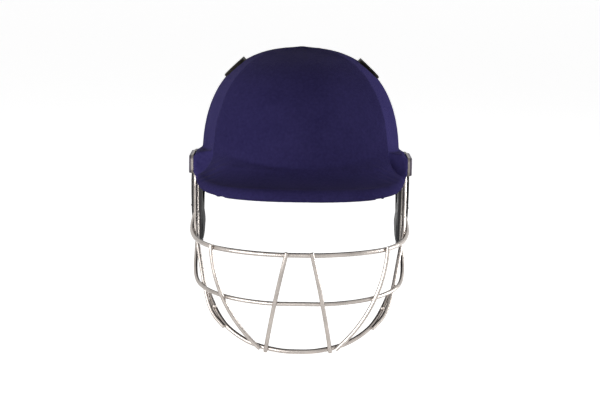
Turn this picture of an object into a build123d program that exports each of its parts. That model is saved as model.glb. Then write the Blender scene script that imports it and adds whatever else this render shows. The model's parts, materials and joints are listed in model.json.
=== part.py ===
from build123d import *
import os
from functools import cache
from math import cos, radians, sin, tan

# A cricket helmet with a steel wire face guard, in millimetres.
# It is modelled about the wearer's sight line: Z is up from the eyes, the front faces -Y,
# and the wearer's left is +X. The finished pieces are then set on the guard's lowest wire,
# with the origin at the middle of the footprint.

# Shell, measured over its cloth
shell_half_width = 99.0
shell_front = 112.0
shell_back = 125.0
crown_height = 153.5
brow_height = 35.7
skirt_depth = 75.7
side_power_share = 2.5
front_power_share = 2.3
ridge_width_share = 0.845
ridge_depth_share = 0.57
ridge_growth_share = 0.16
rear_width_share = 0.80
rear_depth_share = 0.66
skirt_side_share = 0.03
skirt_back_share = 0.16
dome_level_shares = (0.2, 0.4, 0.58, 0.73, 0.84, 0.92, 0.97, 0.993)
cloth_thickness = 1.2
moulding_thickness = 3.2
liner_thickness = 12.0
pad_thickness = 6.0
glue_gap = 0.2
soft_gap = 0.3
seat_gap = 0.3
fit_gap = 0.08
overrun = 40.0

# Rim of the shell, as heights along the side view
rim_front_height = 27.0
rim_boss_height = 22.5
rim_ear_y = 20.0
rim_ear_height = 19.0
rim_neck_y = 60.0
rim_neck_height = 5.0
rim_nape_y = 112.0
rim_nape_height = -13.5
rim_front_y = -66.0
notch_half_width = 23.0
notch_top = 25.0
notch_corner = 12.0
notch_front_y = 60.0
liner_front_height = 35.0
liner_side_height = 32.0
liner_split = 0.6

# Rim binding
binding_lip = 0.9
binding_height = 5.0
binding_floor = 1.2
binding_play = 0.15

# Peak
peak_centre_y = -40.0
peak_overhang = 2.0
peak_half_width = shell_half_width + peak_overhang
peak_length = 48.0
peak_reach = shell_front + peak_length
peak_root_inset = 15.0
peak_root_half_width = shell_half_width - peak_root_inset
peak_root_depth = 14.0
peak_root_reach = shell_front - peak_root_depth
peak_power_share = 2.5
peak_lip_bottom = 19.2
peak_lip_top = 30.4
peak_lip_middle = 23.8
peak_dish_height = 35.2
peak_brow_height = 45.0
peak_root_top = 56.0
peak_under_front = 26.0
peak_under_root = 35.0
peak_end_lift = 4.0
peak_lift_power = 8
peak_angles = (-90, -74, -58, -42, -26, -10, 0, 10, 26, 42, 58, 74, 90)
peak_lip_share = 0.03
peak_top_share = 0.17
peak_dish_share = 0.48
peak_brow_share = 0.78
peak_under_share = 0.22
peak_under_cloth_share = 0.6

# Side boss that carries the guard, and its bracket
boss_proud = 5.4
boss_outer = shell_half_width + boss_proud
boss_depth = 26.4
boss_inner = boss_outer - boss_depth
boss_top = 56.0
boss_shoulder_depth = 6.0
boss_shoulder_x = boss_outer - boss_shoulder_depth
boss_shoulder_z = 54.3
boss_face_top = 50.5
boss_face_bottom = 36.0
boss_foot_depth = 3.6
boss_foot_x = boss_outer - boss_foot_depth
boss_foot_z = 24.2
boss_front_y = -62.0
boss_back_y = -4.0
boss_round = 3.0
pivot_y = -52.0
pivot_z = 41.75
clamp_y = -14.0
pocket_depth = 5.6
pocket_inner = boss_outer - pocket_depth
pocket_front_y = -46.0
pocket_back_y = -18.0
pocket_top = 48.0
plate_thickness = 2.1
plate_bottom = 32.5
plate_top = 51.0
plate_end = 7.0
plate_corner = 4.5
washer_thickness = 1.9
washer_inset = 0.4
washer_corner = 4.1
plate_gap = 0.2
tilt_range = 4.0
slot_play = 0.4

# Screws and inserts
screw_shank = 4.0
screw_head = 8.4
screw_head_depth = 1.6
screw_socket = 2.6
screw_socket_depth = 1.0
socket_sides = 6
insert_diameter = 6.0
insert_length = 8.0

# Face guard wires
cross_wire = 4.5
fine_wire = 4.0
weld_sink = 0.4
wire_end = 3.0
bend_share = 0.45
bisections = 40
top_bar_proud = 0.4
top_bar_half_width = boss_outer + top_bar_proud
top_bar_reach = 150.0
top_bar_drop = 31.0
top_bar_join = -9.0
middle_bar_inset = 2.8
middle_bar_half_width = boss_outer - middle_bar_inset
middle_bar_reach = 143.0
middle_bar_drop = 79.0
arm_y = -24.0
arm_top = 45.0
arm_bend = 15.0
bottom_bar_half_width = 90.0
bottom_bar_reach = 126.0
bottom_bar_drop = 127.8
top_bar_shares = (
    (0.20, 0.997, 1.000),
    (0.44, 0.963, 0.975),
    (0.61, 0.903, 0.960),
    (0.768, 0.810, 0.950),
    (0.887, 0.680, 0.922),
    (0.964, 0.550, 0.865),
    (1.003, 0.413, 0.748),
    (1.005, 0.307, 0.568),
    (0.994, 0.235, 0.375),
)
middle_bar_shares = (
    (0.265, 0.985, 0.998),
    (0.492, 0.934, 0.985),
    (0.635, 0.878, 0.972),
    (0.768, 0.794, 0.954),
    (0.881, 0.682, 0.932),
    (0.957, 0.563, 0.899),
    (0.990, 0.465, 0.846),
    (1.004, 0.364, 0.744),
    (1.002, 0.290, 0.620),
    (0.999, 0.234, 0.456),
    (1.003, 0.196, 0.253),
    (1.013, 0.172, 0.025),
)
bottom_bar_shares = (
    (0.155, 1.000, 1.000),
    (0.372, 0.964, 0.977),
    (0.511, 0.929, 0.951),
    (0.644, 0.889, 0.906),
    (0.772, 0.833, 0.845),
    (0.867, 0.746, 0.767),
    (0.928, 0.694, 0.689),
    (0.981, 0.658, 0.606),
)
centre_upright_shares = (0.1164, 0.2185, 0.3278)
cheek_upright_shares = (0.7700, 0.6870, 0.4122)
side_upright_y = -40.0
side_upright_bend = 23.0
side_upright_top_share = 0.4133
side_upright_middle_share = 0.9350
side_upright_low_share = 0.8833
side_upright_foot_share = 0.7611
side_upright_gap = 1.2
side_upright_foot_sink = 0.1
crossing_run = 6.0

# Vents
vent_y = 5.0
vent_hub_z = 62.85
vent_lift = 0.0521
vent_slope = 46.5
vent_length = 46.0
vent_width = 25.0
vent_corner = 9.0
vent_proud = 1.6
vent_flange = 3.0
vent_wall = 1.8
vent_depth = 7.0
vent_foot = 8.0
vent_mesh_thickness = 1.4
vent_mesh_depth = 1.2
vent_hole = 2.8
vent_bar = 1.1
vent_rows = 4
vent_columns = 9

# Ear guards, as shares of their length and height
ear_front_y = 0.0
ear_length = 60.0
ear_top = 47.0
ear_height = 99.0
ear_outline_shares = (
    (0.02, 1.00),
    (0.94, 0.98),
    (1.00, 0.60),
    (0.84, 0.20),
    (0.52, 0.00),
    (0.22, 0.03),
    (0.02, 0.30),
)
ear_round = 9.0
ear_bulge = 10.3
ear_inner = shell_half_width + seat_gap
ear_outer = ear_inner + ear_bulge
ear_lean_shares = (
    (0.82, 1.04),
    (1.00, 0.82),
    (1.00, 0.48),
    (0.87, 0.27),
    (0.52, 0.10),
    (0.05, -0.04),
)
ear_wall = 2.6
ear_rib_shares = (0.702, 0.444)
ear_rib = 1.0
ear_rib_length = 40.0
ear_rib_middle_y = 30.0
ear_slot_shares = (0.576, 0.333)
ear_slot_length = 26.0
ear_slot_width = 6.0
ear_screw_shares = (0.217, 0.733)
ear_screw_z = 37.0
ear_screw_tip_gap = 0.9
ear_post = 9.0
ear_pad_step = 1.2
ear_pad_inner = ear_inner + ear_pad_step
ear_pad_lean = 3.5
ear_pad_low_inner = ear_pad_inner - ear_pad_lean
ear_pad_low_z = -34.0
ear_pad_foot_z = -52.0
ear_pad_top = 14.0

# Comfort pads
brow_pad_bottom = 31.0
brow_pad_top = 62.0
brow_pad_back_y = -56.0
crown_pad_half_width = 34.0
crown_pad_front_y = -34.0
crown_pad_back_y = 54.0
crown_pad_bottom = 105.0
side_pad_front_y = 24.0
side_pad_back_y = 78.0
side_pad_bottom = 38.0
side_pad_top = 90.0

# Rear fit system
band_inset = 23.0
band_half_width = shell_half_width - band_inset
band_depth = 42.0
band_middle_inset = 63.0
band_middle_y = shell_back - band_middle_inset
band_front_y = 40.0
band_thickness = 1.6
band_bottom = 14.0
band_top = 24.0
band_split = 0.6
nape_gap = 0.3
nape_thickness = 2.5
nape_half_width = 46.0
nape_bottom = -12.0
nape_top = 26.0
nape_corner = 9.0
nape_pad_thickness = 5.5
nape_pad_margin = 3.0
dial_height = 4.0
housing_diameter = 34.0
housing_depth = 6.0
housing_wall = 2.0
dial_diameter = 28.0
dial_depth = 6.6
dial_grip_count = 18
dial_grip_diameter = 2.4
dial_gap = 0.3
axle_diameter = 6.0
pinion_diameter = 11.0
pinion_teeth = 10
pinion_tooth = 1.8
pinion_depth = 2.6
guide_front_y = 42.0
guide_back_y = 50.0
guide_reach = 4.0
guide_inner = band_half_width - guide_reach
guide_bottom = 11.0
guide_top = 27.0
guide_play = 0.35

# Chin strap, drawn up short and tucked inside the crown
strap_y = 20.0
strap_z = 23.0
strap_lean = 20.0
strap_inset = 20.6
strap_half_span = shell_half_width - strap_inset
strap_headroom = 38.4
strap_reach = (crown_height - strap_z - strap_headroom) / cos(radians(strap_lean))
strap_width = 16.0
strap_thickness = 1.6
strap_shares = ((1.0, 0.0), (0.94, 0.34), (0.72, 0.71), (0.41, 0.95), (0.27, 1.0))
strap_bend_shares = (0.30, 0.25, 0.20)
strap_bend = 60.0
strap_eye = 4.4
pin_diameter = 4.0
pin_reach = 1.8
pin_inner = strap_half_span - pin_reach
pin_head = 7.0
pin_head_thickness = 0.9
hanger_gap = 2.6
hanger_inner = strap_half_span + hanger_gap
hanger_size = 11.0
cup_half_width = 30.0
cup_height = 26.0
cup_thickness = 2.4
cup_gap = 0.3
buckle_share = 0.50
buckle_length = 20.0
buckle_width = 22.0
buckle_thickness = 6.4
buckle_wall = 1.4
edge_round_share = 0.25
plug_length = 9.0
prong_length = 12.0
prong_width = 4.0
slide_length = 9.0
slide_width = 22.0
slide_thickness = 3.6
slide_bar = 2.2
slide_share = 0.50

# Sums that several pieces share
shell_inset = cloth_thickness + moulding_thickness
liner_inset = shell_inset + glue_gap
liner_inner = liner_inset + liner_thickness
pad_outer = liner_inner + soft_gap
plate_inner = boss_outer + plate_gap
washer_inner = plate_inner + plate_thickness + fit_gap
washer_outer = washer_inner + washer_thickness
ear_foot = ear_top - ear_height
ear_rib_heights = [ear_foot + share * ear_height for share in ear_rib_shares]
ear_slot_heights = [ear_foot + share * ear_height for share in ear_slot_shares]
ear_screw_y = [ear_front_y + share * ear_length for share in ear_screw_shares]
wire_seat = plate_inner - fine_wire / 2 + weld_sink
wire_touch = (cross_wire + fine_wire) / 2
weld_reach = wire_touch - weld_sink


def share_of(height_share, power):
    """Returns the width left at a height on a unit superellipse."""
    return max(0, 1 - height_share**power) ** (1 / power)


def mirror_x(shape):
    """Returns the same piece for the other side of the head."""
    return mirror(shape, about=Plane.YZ)


def block(x_low, x_high, y_low, y_high, z_low, z_high):
    """Returns a box between two corners."""
    size = Box(x_high - x_low, y_high - y_low, z_high - z_low)
    middle = ((x_low + x_high) / 2, (y_low + y_high) / 2, (z_low + z_high) / 2)
    return size.moved(Location(middle))


def rod_x(x_low, x_high, y, z, diameter):
    """Returns a round rod along X."""
    plane = Plane(origin=(x_low, y, z), x_dir=(0, 1, 0), z_dir=(1, 0, 0))
    return extrude(plane * Circle(diameter / 2), amount=x_high - x_low)


def dome_section(z, inset):
    """Returns the closed outline of the dome at one height."""
    if z >= brow_height:
        height_share = (z - brow_height) / (crown_height - inset - brow_height)
        wide = share_of(height_share, side_power_share)
        deep = share_of(height_share, front_power_share)
        back_share = deep
    else:
        height_share = 0
        drop = (brow_height - z) / skirt_depth
        wide = 1 - skirt_side_share * drop**2
        deep = 1
        back_share = 1 - skirt_back_share * drop**2
    half = (shell_half_width - inset) * wide
    front = (shell_front - inset) * deep
    back = (shell_back - inset) * back_share
    ridge = (ridge_depth_share + ridge_growth_share * height_share**2) * front
    ridge_x, ridge_y = ridge_width_share * half, -ridge
    rear_x, rear_y = rear_width_share * half, rear_depth_share * back
    side_y = (ridge_y + rear_y) / 2
    return Wire([
        ThreePointArc((-ridge_x, ridge_y, z), (0, -front, z), (ridge_x, ridge_y, z)),
        ThreePointArc((ridge_x, ridge_y, z), (half, side_y, z), (rear_x, rear_y, z)),
        ThreePointArc((rear_x, rear_y, z), (0, back, z), (-rear_x, rear_y, z)),
        ThreePointArc((-rear_x, rear_y, z), (-half, side_y, z), (-ridge_x, ridge_y, z)),
    ])


def dome(inset):
    """Returns the solid inside the cloth's outer face, drawn in by inset."""
    tall = crown_height - inset - brow_height
    low = brow_height - skirt_depth
    levels = [low, low / 2, 0, brow_height]
    levels += [brow_height + tall * share for share in dome_level_shares]
    outlines = [dome_section(z, inset) for z in levels]
    return Solid.make_loft(outlines + [Vertex(0, 0, crown_height - inset)], ruled=False)


def peak_point(angle, half_width, reach):
    """Returns a point of a rounded outline in plan, angle from the front."""
    side, ahead = sin(radians(angle)), cos(radians(angle))
    bend = 2 / peak_power_share
    x = half_width * abs(side) ** bend * (1 if side >= 0 else -1)
    return Vector(x, peak_centre_y - reach * abs(ahead) ** bend, 0)


def peak_section(angle, inset):
    """Returns the upright section of the peak that looks along one angle."""
    edge = peak_point(angle, peak_half_width, peak_reach + peak_centre_y)
    root = peak_point(angle, peak_root_half_width, peak_root_reach + peak_centre_y)
    inward = (root - edge).normalized()
    edge += inward * inset
    length = (root - edge).length
    lift = peak_end_lift * abs(sin(radians(angle))) ** peak_lift_power

    def at(share, z):
        spot = edge + inward * (share * length)
        return Vector(spot.X, spot.Y, z + lift * (1 - share))

    lip_low = at(peak_lip_share, peak_lip_bottom + inset)
    lip_mid = at(0, peak_lip_middle)
    lip_top = at(peak_top_share, peak_lip_top - inset)
    dish = at(peak_dish_share, peak_dish_height - inset)
    brow = at(peak_brow_share, peak_brow_height - inset)
    root_top = at(1, peak_root_top - inset)
    root_low = at(1, peak_under_root + inset)
    under = at(peak_under_share, peak_under_front + inset * peak_under_cloth_share)
    return Wire([
        ThreePointArc(lip_low, lip_mid, lip_top),
        ThreePointArc(lip_top, dish, brow),
        Line(brow, root_top),
        Line(root_top, root_low),
        Line(root_low, under),
        Line(under, lip_low),
    ])


def peak(inset):
    """Returns the peak as a solid that runs into the dome."""
    return Solid.make_loft([peak_section(angle, inset) for angle in peak_angles], ruled=False)


def boss(inset):
    """Returns the side boss on the wearer's left."""
    outline = Polyline(
        (boss_inner, boss_top - inset),
        (boss_shoulder_x - inset / 2, boss_shoulder_z - inset),
        (boss_outer - inset, boss_face_top - inset / 2),
        (boss_outer - inset, boss_face_bottom),
        (boss_foot_x - inset, boss_foot_z + inset),
        (boss_inner, boss_foot_z + inset),
        close=True,
    )
    face = Plane.XZ * make_face(outline)
    length = boss_back_y - boss_front_y - 2 * inset
    solid = extrude(face, amount=length).moved(Location((0, boss_back_y - inset, 0)))
    outer_edges = solid.edges().filter_by_position(
        Axis.X, boss_shoulder_x - 2 * inset, boss_outer + inset
    )
    return fillet(outer_edges, boss_round - inset)


def both(solid):
    """Returns a piece and its mirror image as one list of solids."""
    return Part() + [solid, mirror_x(solid)]


def covered_body(inset):
    """Returns the trimmed dome with peak and both bosses, drawn in by inset."""
    side = boss(inset)
    return dome(inset) - below_rim(0) + peak(inset) + side + mirror_x(side)


def below_rim(rise):
    """Returns everything under the rim line, raised by rise, with the nape notch."""
    deep = -(skirt_depth + overrun)
    line = Spline(
        (rim_front_y, rim_boss_height + rise),
        (rim_ear_y, rim_ear_height + rise),
        (rim_neck_y, rim_neck_height + rise),
        (rim_nape_y, rim_nape_height + rise),
        tangents=((1, 0), (1, 0)),
    )
    front = -(peak_reach + overrun)
    back = shell_back + overrun
    closing = Polyline(
        (rim_nape_y, rim_nape_height + rise),
        (back, rim_nape_height + rise),
        (back, deep),
        (front, deep),
        (front, rim_front_height + rise),
        (rim_front_y, rim_front_height + rise),
        (rim_front_y, rim_boss_height + rise),
    )
    side_view = Plane.YZ * make_face(line.edges() + closing.edges())
    span = shell_half_width + overrun
    under = extrude(side_view, amount=span, both=True)
    half = notch_half_width + rise
    mouth = block(-half, half, notch_front_y, back, deep, notch_top + rise)
    tops = mouth.edges().filter_by(Axis.Y).sort_by(Axis.Z)[-2:]
    return under + fillet(tops, notch_corner + rise)


def above_liner_rim():
    """Returns the space that the impact liner may fill."""
    span = shell_half_width + overrun
    front = -(peak_reach + overrun)
    back = shell_back + overrun
    top = crown_height + overrun
    edge = Polyline(
        (front, top),
        (front, liner_front_height),
        (rim_front_y, liner_front_height),
        (rim_front_y + overrun, liner_side_height),
        (back, liner_side_height),
        (back, top),
        close=True,
    )
    return extrude(Plane.YZ * make_face(edge), amount=span, both=True)


def reach_x(solid, y, z):
    """Returns how far out a solid comes at one place on its side."""
    ray = Edge.make_line((0, y, z), (shell_half_width + overrun, y, z))
    return (ray & solid).bounding_box().max.X


def screw_x(head_x, tip_x, y, z, sunk):
    """Returns a screw along X, its head's outer face at head_x."""
    shank = rod_x(tip_x, head_x, y, z, screw_shank)
    if sunk:
        plane = Plane(origin=(head_x, y, z), x_dir=(0, 1, 0), z_dir=(-1, 0, 0))
        rim = plane * Circle(screw_head / 2)
        neck = plane.offset(screw_head_depth) * Circle(screw_shank / 2)
        head = loft([rim, neck])
    else:
        head = rod_x(head_x - screw_head_depth, head_x, y, z, screw_head)
        head = chamfer(head.edges().sort_by(Axis.X)[-1], screw_socket_depth / 2)
    plane = Plane(origin=(head_x, y, z), x_dir=(0, 1, 0), z_dir=(-1, 0, 0))
    socket = extrude(plane * RegularPolygon(screw_socket / 2, socket_sides), amount=screw_socket_depth)
    return shank + head - socket


def plate_blank(x_low, thickness, inset, corner):
    """Returns the rounded blank of a bracket plate or its washer plate."""
    length = clamp_y - pivot_y + 2 * (plate_end - inset)
    height = plate_top - plate_bottom - 2 * inset
    middle = ((pivot_y + clamp_y) / 2, (plate_top + plate_bottom) / 2)
    plane = Plane(origin=(x_low, middle[0], middle[1]), x_dir=(0, 1, 0), z_dir=(1, 0, 0))
    return extrude(plane * RectangleRounded(length, height, corner), amount=thickness)


def bracket_plate():
    """Returns the steel plate that the guard's wires are welded to."""
    blank = plate_blank(plate_inner, plate_thickness, 0, plate_corner)
    far = plate_inner + plate_thickness + overrun
    hole = screw_shank + 2 * fit_gap
    pivot_hole = rod_x(plate_inner - overrun, far, pivot_y, pivot_z, hole)
    slot_arc = CenterArc((pivot_y, pivot_z), clamp_y - pivot_y, -tilt_range, 2 * tilt_range)
    plane = Plane(origin=(plate_inner - overrun, 0, 0), x_dir=(0, 1, 0), z_dir=(1, 0, 0))
    slot = extrude(plane * SlotArc(slot_arc, screw_shank + 2 * slot_play), amount=2 * overrun)
    return blank - pivot_hole - slot


def washer_plate():
    """Returns the outer plate that the two screw heads sit flush in."""
    blank = plate_blank(washer_inner, washer_thickness, washer_inset, washer_corner)
    for y in (pivot_y, clamp_y):
        plane = Plane(origin=(washer_outer, y, pivot_z), x_dir=(0, 1, 0), z_dir=(-1, 0, 0))
        rim = plane * Circle(screw_head / 2 + fit_gap)
        neck = plane.offset(screw_head_depth) * Circle(screw_shank / 2 + fit_gap)
        blank -= loft([rim, neck])
        blank -= rod_x(washer_inner - overrun, washer_outer, y, pivot_z, screw_shank + 2 * fit_gap)
    return chamfer(blank.faces().sort_by(Axis.X)[-1].outer_wire().edges(), washer_inset)


def scaled(shares, half_width, reach, drop):
    """Returns the points of a bar's left half from its table of shares."""
    return [Vector(x * half_width, -y * reach, -z * drop) for x, y, z in shares]


def bent_path(points):
    """Returns straight runs joined by arcs as large as the runs allow."""
    radii = []
    for before, here, after in zip(points, points[1:], points[2:]):
        one, two = here - before, after - here
        shorter = min(one.length, two.length)
        radii.append(bend_share * shorter / tan(radians(one.get_angle(two)) / 2))
    return FilletPolyline(*points, radius=radii)


def wire_of(path, diameter):
    """Returns a round wire along a path."""
    return sweep(Plane(origin=path @ 0, z_dir=path % 0) * Circle(diameter / 2), path=path)


def mirrored(points):
    """Returns a whole bar's points from those of its left half."""
    return [Vector(-p.X, p.Y, p.Z) for p in reversed(points)] + points


def spot_on(path, axis, value):
    """Returns where the left half of a bar reaches a value along one axis, and its direction."""
    low, high = 0.5, 1
    start = getattr(path @ low, axis)
    rising = getattr(path @ high, axis) > start
    for _ in range(bisections):
        middle = (low + high) / 2
        if (getattr(path @ middle, axis) < value) == rising:
            low = middle
        else:
            high = middle
    return path @ low, path % low


def beside(path, axis, value, distance):
    """Returns a point at a distance outward, level, from a bar's middle."""
    spot, along = spot_on(path, axis, value)
    outward = Vector(along.Y, -along.X, 0).normalized()
    return spot + outward * distance


def arc_upright(spots):
    """Returns an upright's path, one arc with short straight ends past the outer bars."""
    arc = ThreePointArc(*spots)
    first, last = (arc % 0) * wire_end, (arc % 1) * wire_end
    return Wire([Line(spots[0] - first, spots[0]), arc, Line(spots[2], spots[2] + last)])


def bar_paths():
    """Returns the paths of the three cross bars."""
    middle_points = scaled(middle_bar_shares, middle_bar_half_width, middle_bar_reach, middle_bar_drop)
    middle_points += [Vector(wire_seat, arm_y, arm_bend), Vector(wire_seat, arm_y, arm_top)]
    middle = bent_path(mirrored(middle_points))
    top_points = scaled(top_bar_shares, top_bar_half_width, top_bar_reach, top_bar_drop)
    arm_spot, _ = spot_on(middle, "Z", top_bar_join)
    top_points.append(towards(arm_spot, top_points[-1], fine_wire / 2 - weld_sink))
    top = bent_path(mirrored(top_points))
    low_points = scaled(bottom_bar_shares, bottom_bar_half_width, bottom_bar_reach, bottom_bar_drop)
    bottom = bent_path(mirrored(low_points))
    return top, middle, bottom


def towards(spot, other, distance):
    """Returns the point at a distance from spot on the way to other."""
    return spot + (other - spot).normalized() * distance


def guard():
    """Returns the pieces of the face guard by name."""
    top, middle, bottom = bar_paths()
    pieces = {
        "top_bar": wire_of(top, cross_wire),
        "middle_bar": wire_of(middle, fine_wire),
        "bottom_bar": wire_of(bottom, cross_wire),
    }
    bars = ((top, top_bar_half_width), (middle, middle_bar_half_width), (bottom, bottom_bar_half_width))
    for name, shares in (("centre_upright", centre_upright_shares), ("cheek_upright", cheek_upright_shares)):
        spots = [beside(bar, "X", share * half, weld_reach) for (bar, half), share in zip(bars, shares)]
        pieces[name + "_left"] = wire_of(arc_upright(spots), fine_wire)
    crossings = [
        beside(top, "Y", -side_upright_top_share * top_bar_reach, -weld_reach),
        beside(middle, "X", side_upright_middle_share * middle_bar_half_width, -weld_reach),
        beside(bottom, "X", side_upright_low_share * bottom_bar_half_width, wire_touch + side_upright_gap),
    ]
    foot_x = side_upright_foot_share * bottom_bar_half_width
    foot = beside(bottom, "X", foot_x, wire_touch - side_upright_foot_sink)
    stops = [Vector(wire_seat, side_upright_y, side_upright_bend)] + crossings + [foot]
    points = [Vector(wire_seat, side_upright_y, arm_top), stops[0]]
    for before, here, after in zip(stops, crossings, stops[2:]):
        along = (after - before).normalized() * crossing_run
        points += [here - along, here + along]
    points.append(foot)
    pieces["side_upright_left"] = wire_of(bent_path(points), fine_wire)
    pieces["bracket_plate_left"] = bracket_plate()
    for name in [name for name in pieces if name.endswith("_left")]:
        pieces[name.replace("_left", "_right")] = mirror_x(pieces[name])
    return pieces


@cache
def vent_plane():
    """Returns the plane of the vent on the wearer's left, Z outward and X along the head."""
    outward = Vector(cos(radians(vent_slope)), 0, sin(radians(vent_slope)))
    hub = Vector(0, vent_y, vent_hub_z)
    ray = Edge.make_line(hub, hub + outward * (shell_half_width + overrun))
    distance = (ray & dome(0)).bounding_box().max.X / outward.X + vent_lift
    return Plane(origin=hub + outward * distance, x_dir=(0, 1, 0), z_dir=outward)


def vent_block(length, width, corner, low, high):
    """Returns a rounded block on the vent's plane between two heights."""
    return extrude(vent_plane().offset(low) * RectangleRounded(length, width, corner), amount=high - low)


def vent_opening():
    """Returns the hole for the vent through every layer."""
    length, width = vent_length - 2 * vent_flange, vent_width - 2 * vent_flange
    return vent_block(length, width, vent_corner - vent_flange, -overrun, overrun)


def vent_frame(cloth_body):
    """Returns the vent's frame, whose flange follows the cloth."""
    flange = vent_block(vent_length, vent_width, vent_corner, -vent_foot, vent_proud) - cloth_body
    flange = flange.solids().sort_by(Axis.Z)[-1]
    inset = vent_flange + fit_gap
    spigot = vent_block(
        vent_length - 2 * inset, vent_width - 2 * inset, vent_corner - inset, -vent_depth, vent_proud
    )
    inset += vent_wall
    bore = vent_block(
        vent_length - 2 * inset, vent_width - 2 * inset, vent_corner - inset, -overrun, overrun
    )
    return flange + spigot - bore


def vent_mesh():
    """Returns the mesh that closes the vent's frame."""
    inset = vent_flange + vent_wall + 2 * fit_gap
    low = vent_proud - vent_mesh_depth - vent_mesh_thickness
    plate = vent_block(
        vent_length - 2 * inset, vent_width - 2 * inset, vent_corner - inset, low, low + vent_mesh_thickness
    )
    step = vent_hole + vent_bar
    holes = Sketch()
    for spot in GridLocations(step, step, vent_columns, vent_rows):
        holes += spot * Rectangle(vent_hole, vent_hole)
    return plate - extrude(vent_plane().offset(low - overrun) * holes, amount=2 * overrun)


def ear_outline(inset):
    """Returns the ear guard's side view, drawn in by inset."""
    points = [
        (ear_front_y + along * ear_length, ear_foot + up * ear_height)
        for along, up in ear_outline_shares
    ]
    face = make_face(Polyline(*points, close=True))
    face = fillet(face.vertices(), ear_round)
    return offset(face, -inset) if inset else face


def ear_slab(inset):
    """Returns the ear guard's side view as a slab along X."""
    plane = Plane(origin=(ear_pad_low_inner - overrun, 0, 0), x_dir=(0, 1, 0), z_dir=(1, 0, 0))
    return extrude(plane * ear_outline(inset), amount=2 * overrun)


def ear_profile(inner, inset):
    """Returns the ear guard's front view as a slab along Y, its outer face drawn in by inset."""
    points = [
        (ear_inner + out * ear_bulge - inset, ear_foot + up * ear_height)
        for out, up in ear_lean_shares
    ]
    foot = points[-1]
    curve = Spline(*points)
    face = make_face([
        *curve.edges(),
        Line(foot, (inner, foot[1])),
        Line((inner, foot[1]), (inner, points[0][1])),
        Line((inner, points[0][1]), points[0]),
    ])
    slab = extrude(Plane.XZ * face, amount=ear_length + 2 * overrun)
    return slab.moved(Location((0, ear_front_y + ear_length + overrun, 0)))


def ear_slots(width, low_x):
    """Returns the two listening slots as cutters."""
    cutters = Part()
    plane = Plane(origin=(low_x, 0, 0), x_dir=(0, 1, 0), z_dir=(1, 0, 0))
    for height in ear_slot_heights:
        slot = Pos(ear_rib_middle_y, height) * SlotOverall(ear_slot_length, width)
        cutters += extrude(plane * slot, amount=2 * overrun)
    return cutters


def ear_guard(shell_room, cloth_body):
    """Returns the moulded ear guard on the wearer's left."""
    outside = ear_slab(0) & ear_profile(ear_pad_low_inner, 0)
    inside = ear_slab(ear_wall) & ear_profile(ear_pad_low_inner - overrun, ear_wall)
    dish = outside - inside
    dish -= block(0, ear_inner, ear_front_y - overrun, shell_back, -skirt_depth, crown_height)
    for height in ear_rib_heights:
        middle = ear_rib_middle_y
        span = Line(
            (ear_outer, middle - ear_rib_length / 2, height),
            (ear_outer, middle + ear_rib_length / 2, height),
        )
        rib = sweep(Plane(origin=span @ 0, z_dir=span % 0) * Circle(ear_rib), path=span)
        dish += rib - inside
    dish -= ear_slots(ear_slot_width, ear_pad_low_inner)
    dish -= shell_room
    for y in ear_screw_y:
        post = rod_x(0, ear_outer - ear_wall / 2, y, ear_screw_z, ear_post)
        dish += post - cloth_body
    for y in ear_screw_y:
        dish -= rod_x(0, ear_outer + overrun, y, ear_screw_z, screw_shank + 2 * fit_gap)
        face_x = ear_outer - screw_head_depth
        dish -= rod_x(face_x, ear_outer + overrun, y, ear_screw_z, screw_head + 2 * fit_gap)
    return dish.solids().sort_by(SortBy.VOLUME)[-1]


def ear_pad(shell_room):
    """Returns the foam pad in the ear guard, a plain closed form."""
    inset = ear_wall + soft_gap
    body = ear_slab(inset) & ear_profile(ear_pad_low_inner - overrun, inset)
    inner = Spline(
        (ear_pad_inner, ear_pad_top),
        (ear_pad_inner, ear_rib_heights[1]),
        (ear_pad_low_inner, ear_pad_low_z),
        (ear_pad_inner, ear_pad_foot_z),
    )
    far = ear_outer
    face = make_face([
        *inner.edges(),
        Line((ear_pad_inner, ear_pad_foot_z), (far, ear_pad_foot_z)),
        Line((far, ear_pad_foot_z), (far, ear_pad_top)),
        Line((far, ear_pad_top), (ear_pad_inner, ear_pad_top)),
    ])
    slab = extrude(Plane.XZ * face, amount=ear_length + 2 * overrun)
    slab = slab.moved(Location((0, ear_front_y + ear_length + overrun, 0)))
    pad = (body & slab) - shell_room
    return pad.solids().sort_by(SortBy.VOLUME)[-1]


def fitted_pad(outer, inner, x_low, x_high, y_low, y_high, z_low, z_high):
    """Returns a pad that follows the liner inside a box."""
    return (outer & block(x_low, x_high, y_low, y_high, z_low, z_high)) - inner


def u_profile(outset, y_from):
    """Returns the outline of the headband's U in plan, grown by outset."""
    half = band_half_width + outset
    back = Pos(0, band_middle_y) * Ellipse(half, band_depth + outset)
    keep = Pos(0, band_middle_y + band_depth) * Rectangle(4 * half, 2 * band_depth)
    arms = Pos(0, (y_from + band_middle_y) / 2) * Rectangle(2 * half, band_middle_y - y_from)
    return (back & keep) + arms


def u_ring(outset, thickness, y_from, z_low, z_high):
    """Returns an upright U-shaped strip in plan between two heights."""
    ring = u_profile(outset, y_from) - u_profile(outset - thickness, y_from - overrun)
    return extrude(Pos(0, 0, z_low) * ring, amount=z_high - z_low)


def nape_window(half_width, bottom, top, corner):
    """Returns the rounded window, seen from behind, that trims the nape pieces."""
    plane = Plane(origin=(0, band_middle_y, (bottom + top) / 2), x_dir=(1, 0, 0), z_dir=(0, 1, 0))
    return extrude(plane * RectangleRounded(2 * half_width, top - bottom, corner), amount=2 * overrun)


def dial_rod(y_low, y_high, diameter):
    """Returns a round rod along Y on the dial's axis."""
    plane = Plane(origin=(0, y_low, dial_height), x_dir=(1, 0, 0), z_dir=(0, 1, 0))
    return extrude(plane * Circle(diameter / 2), amount=y_high - y_low)


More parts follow.
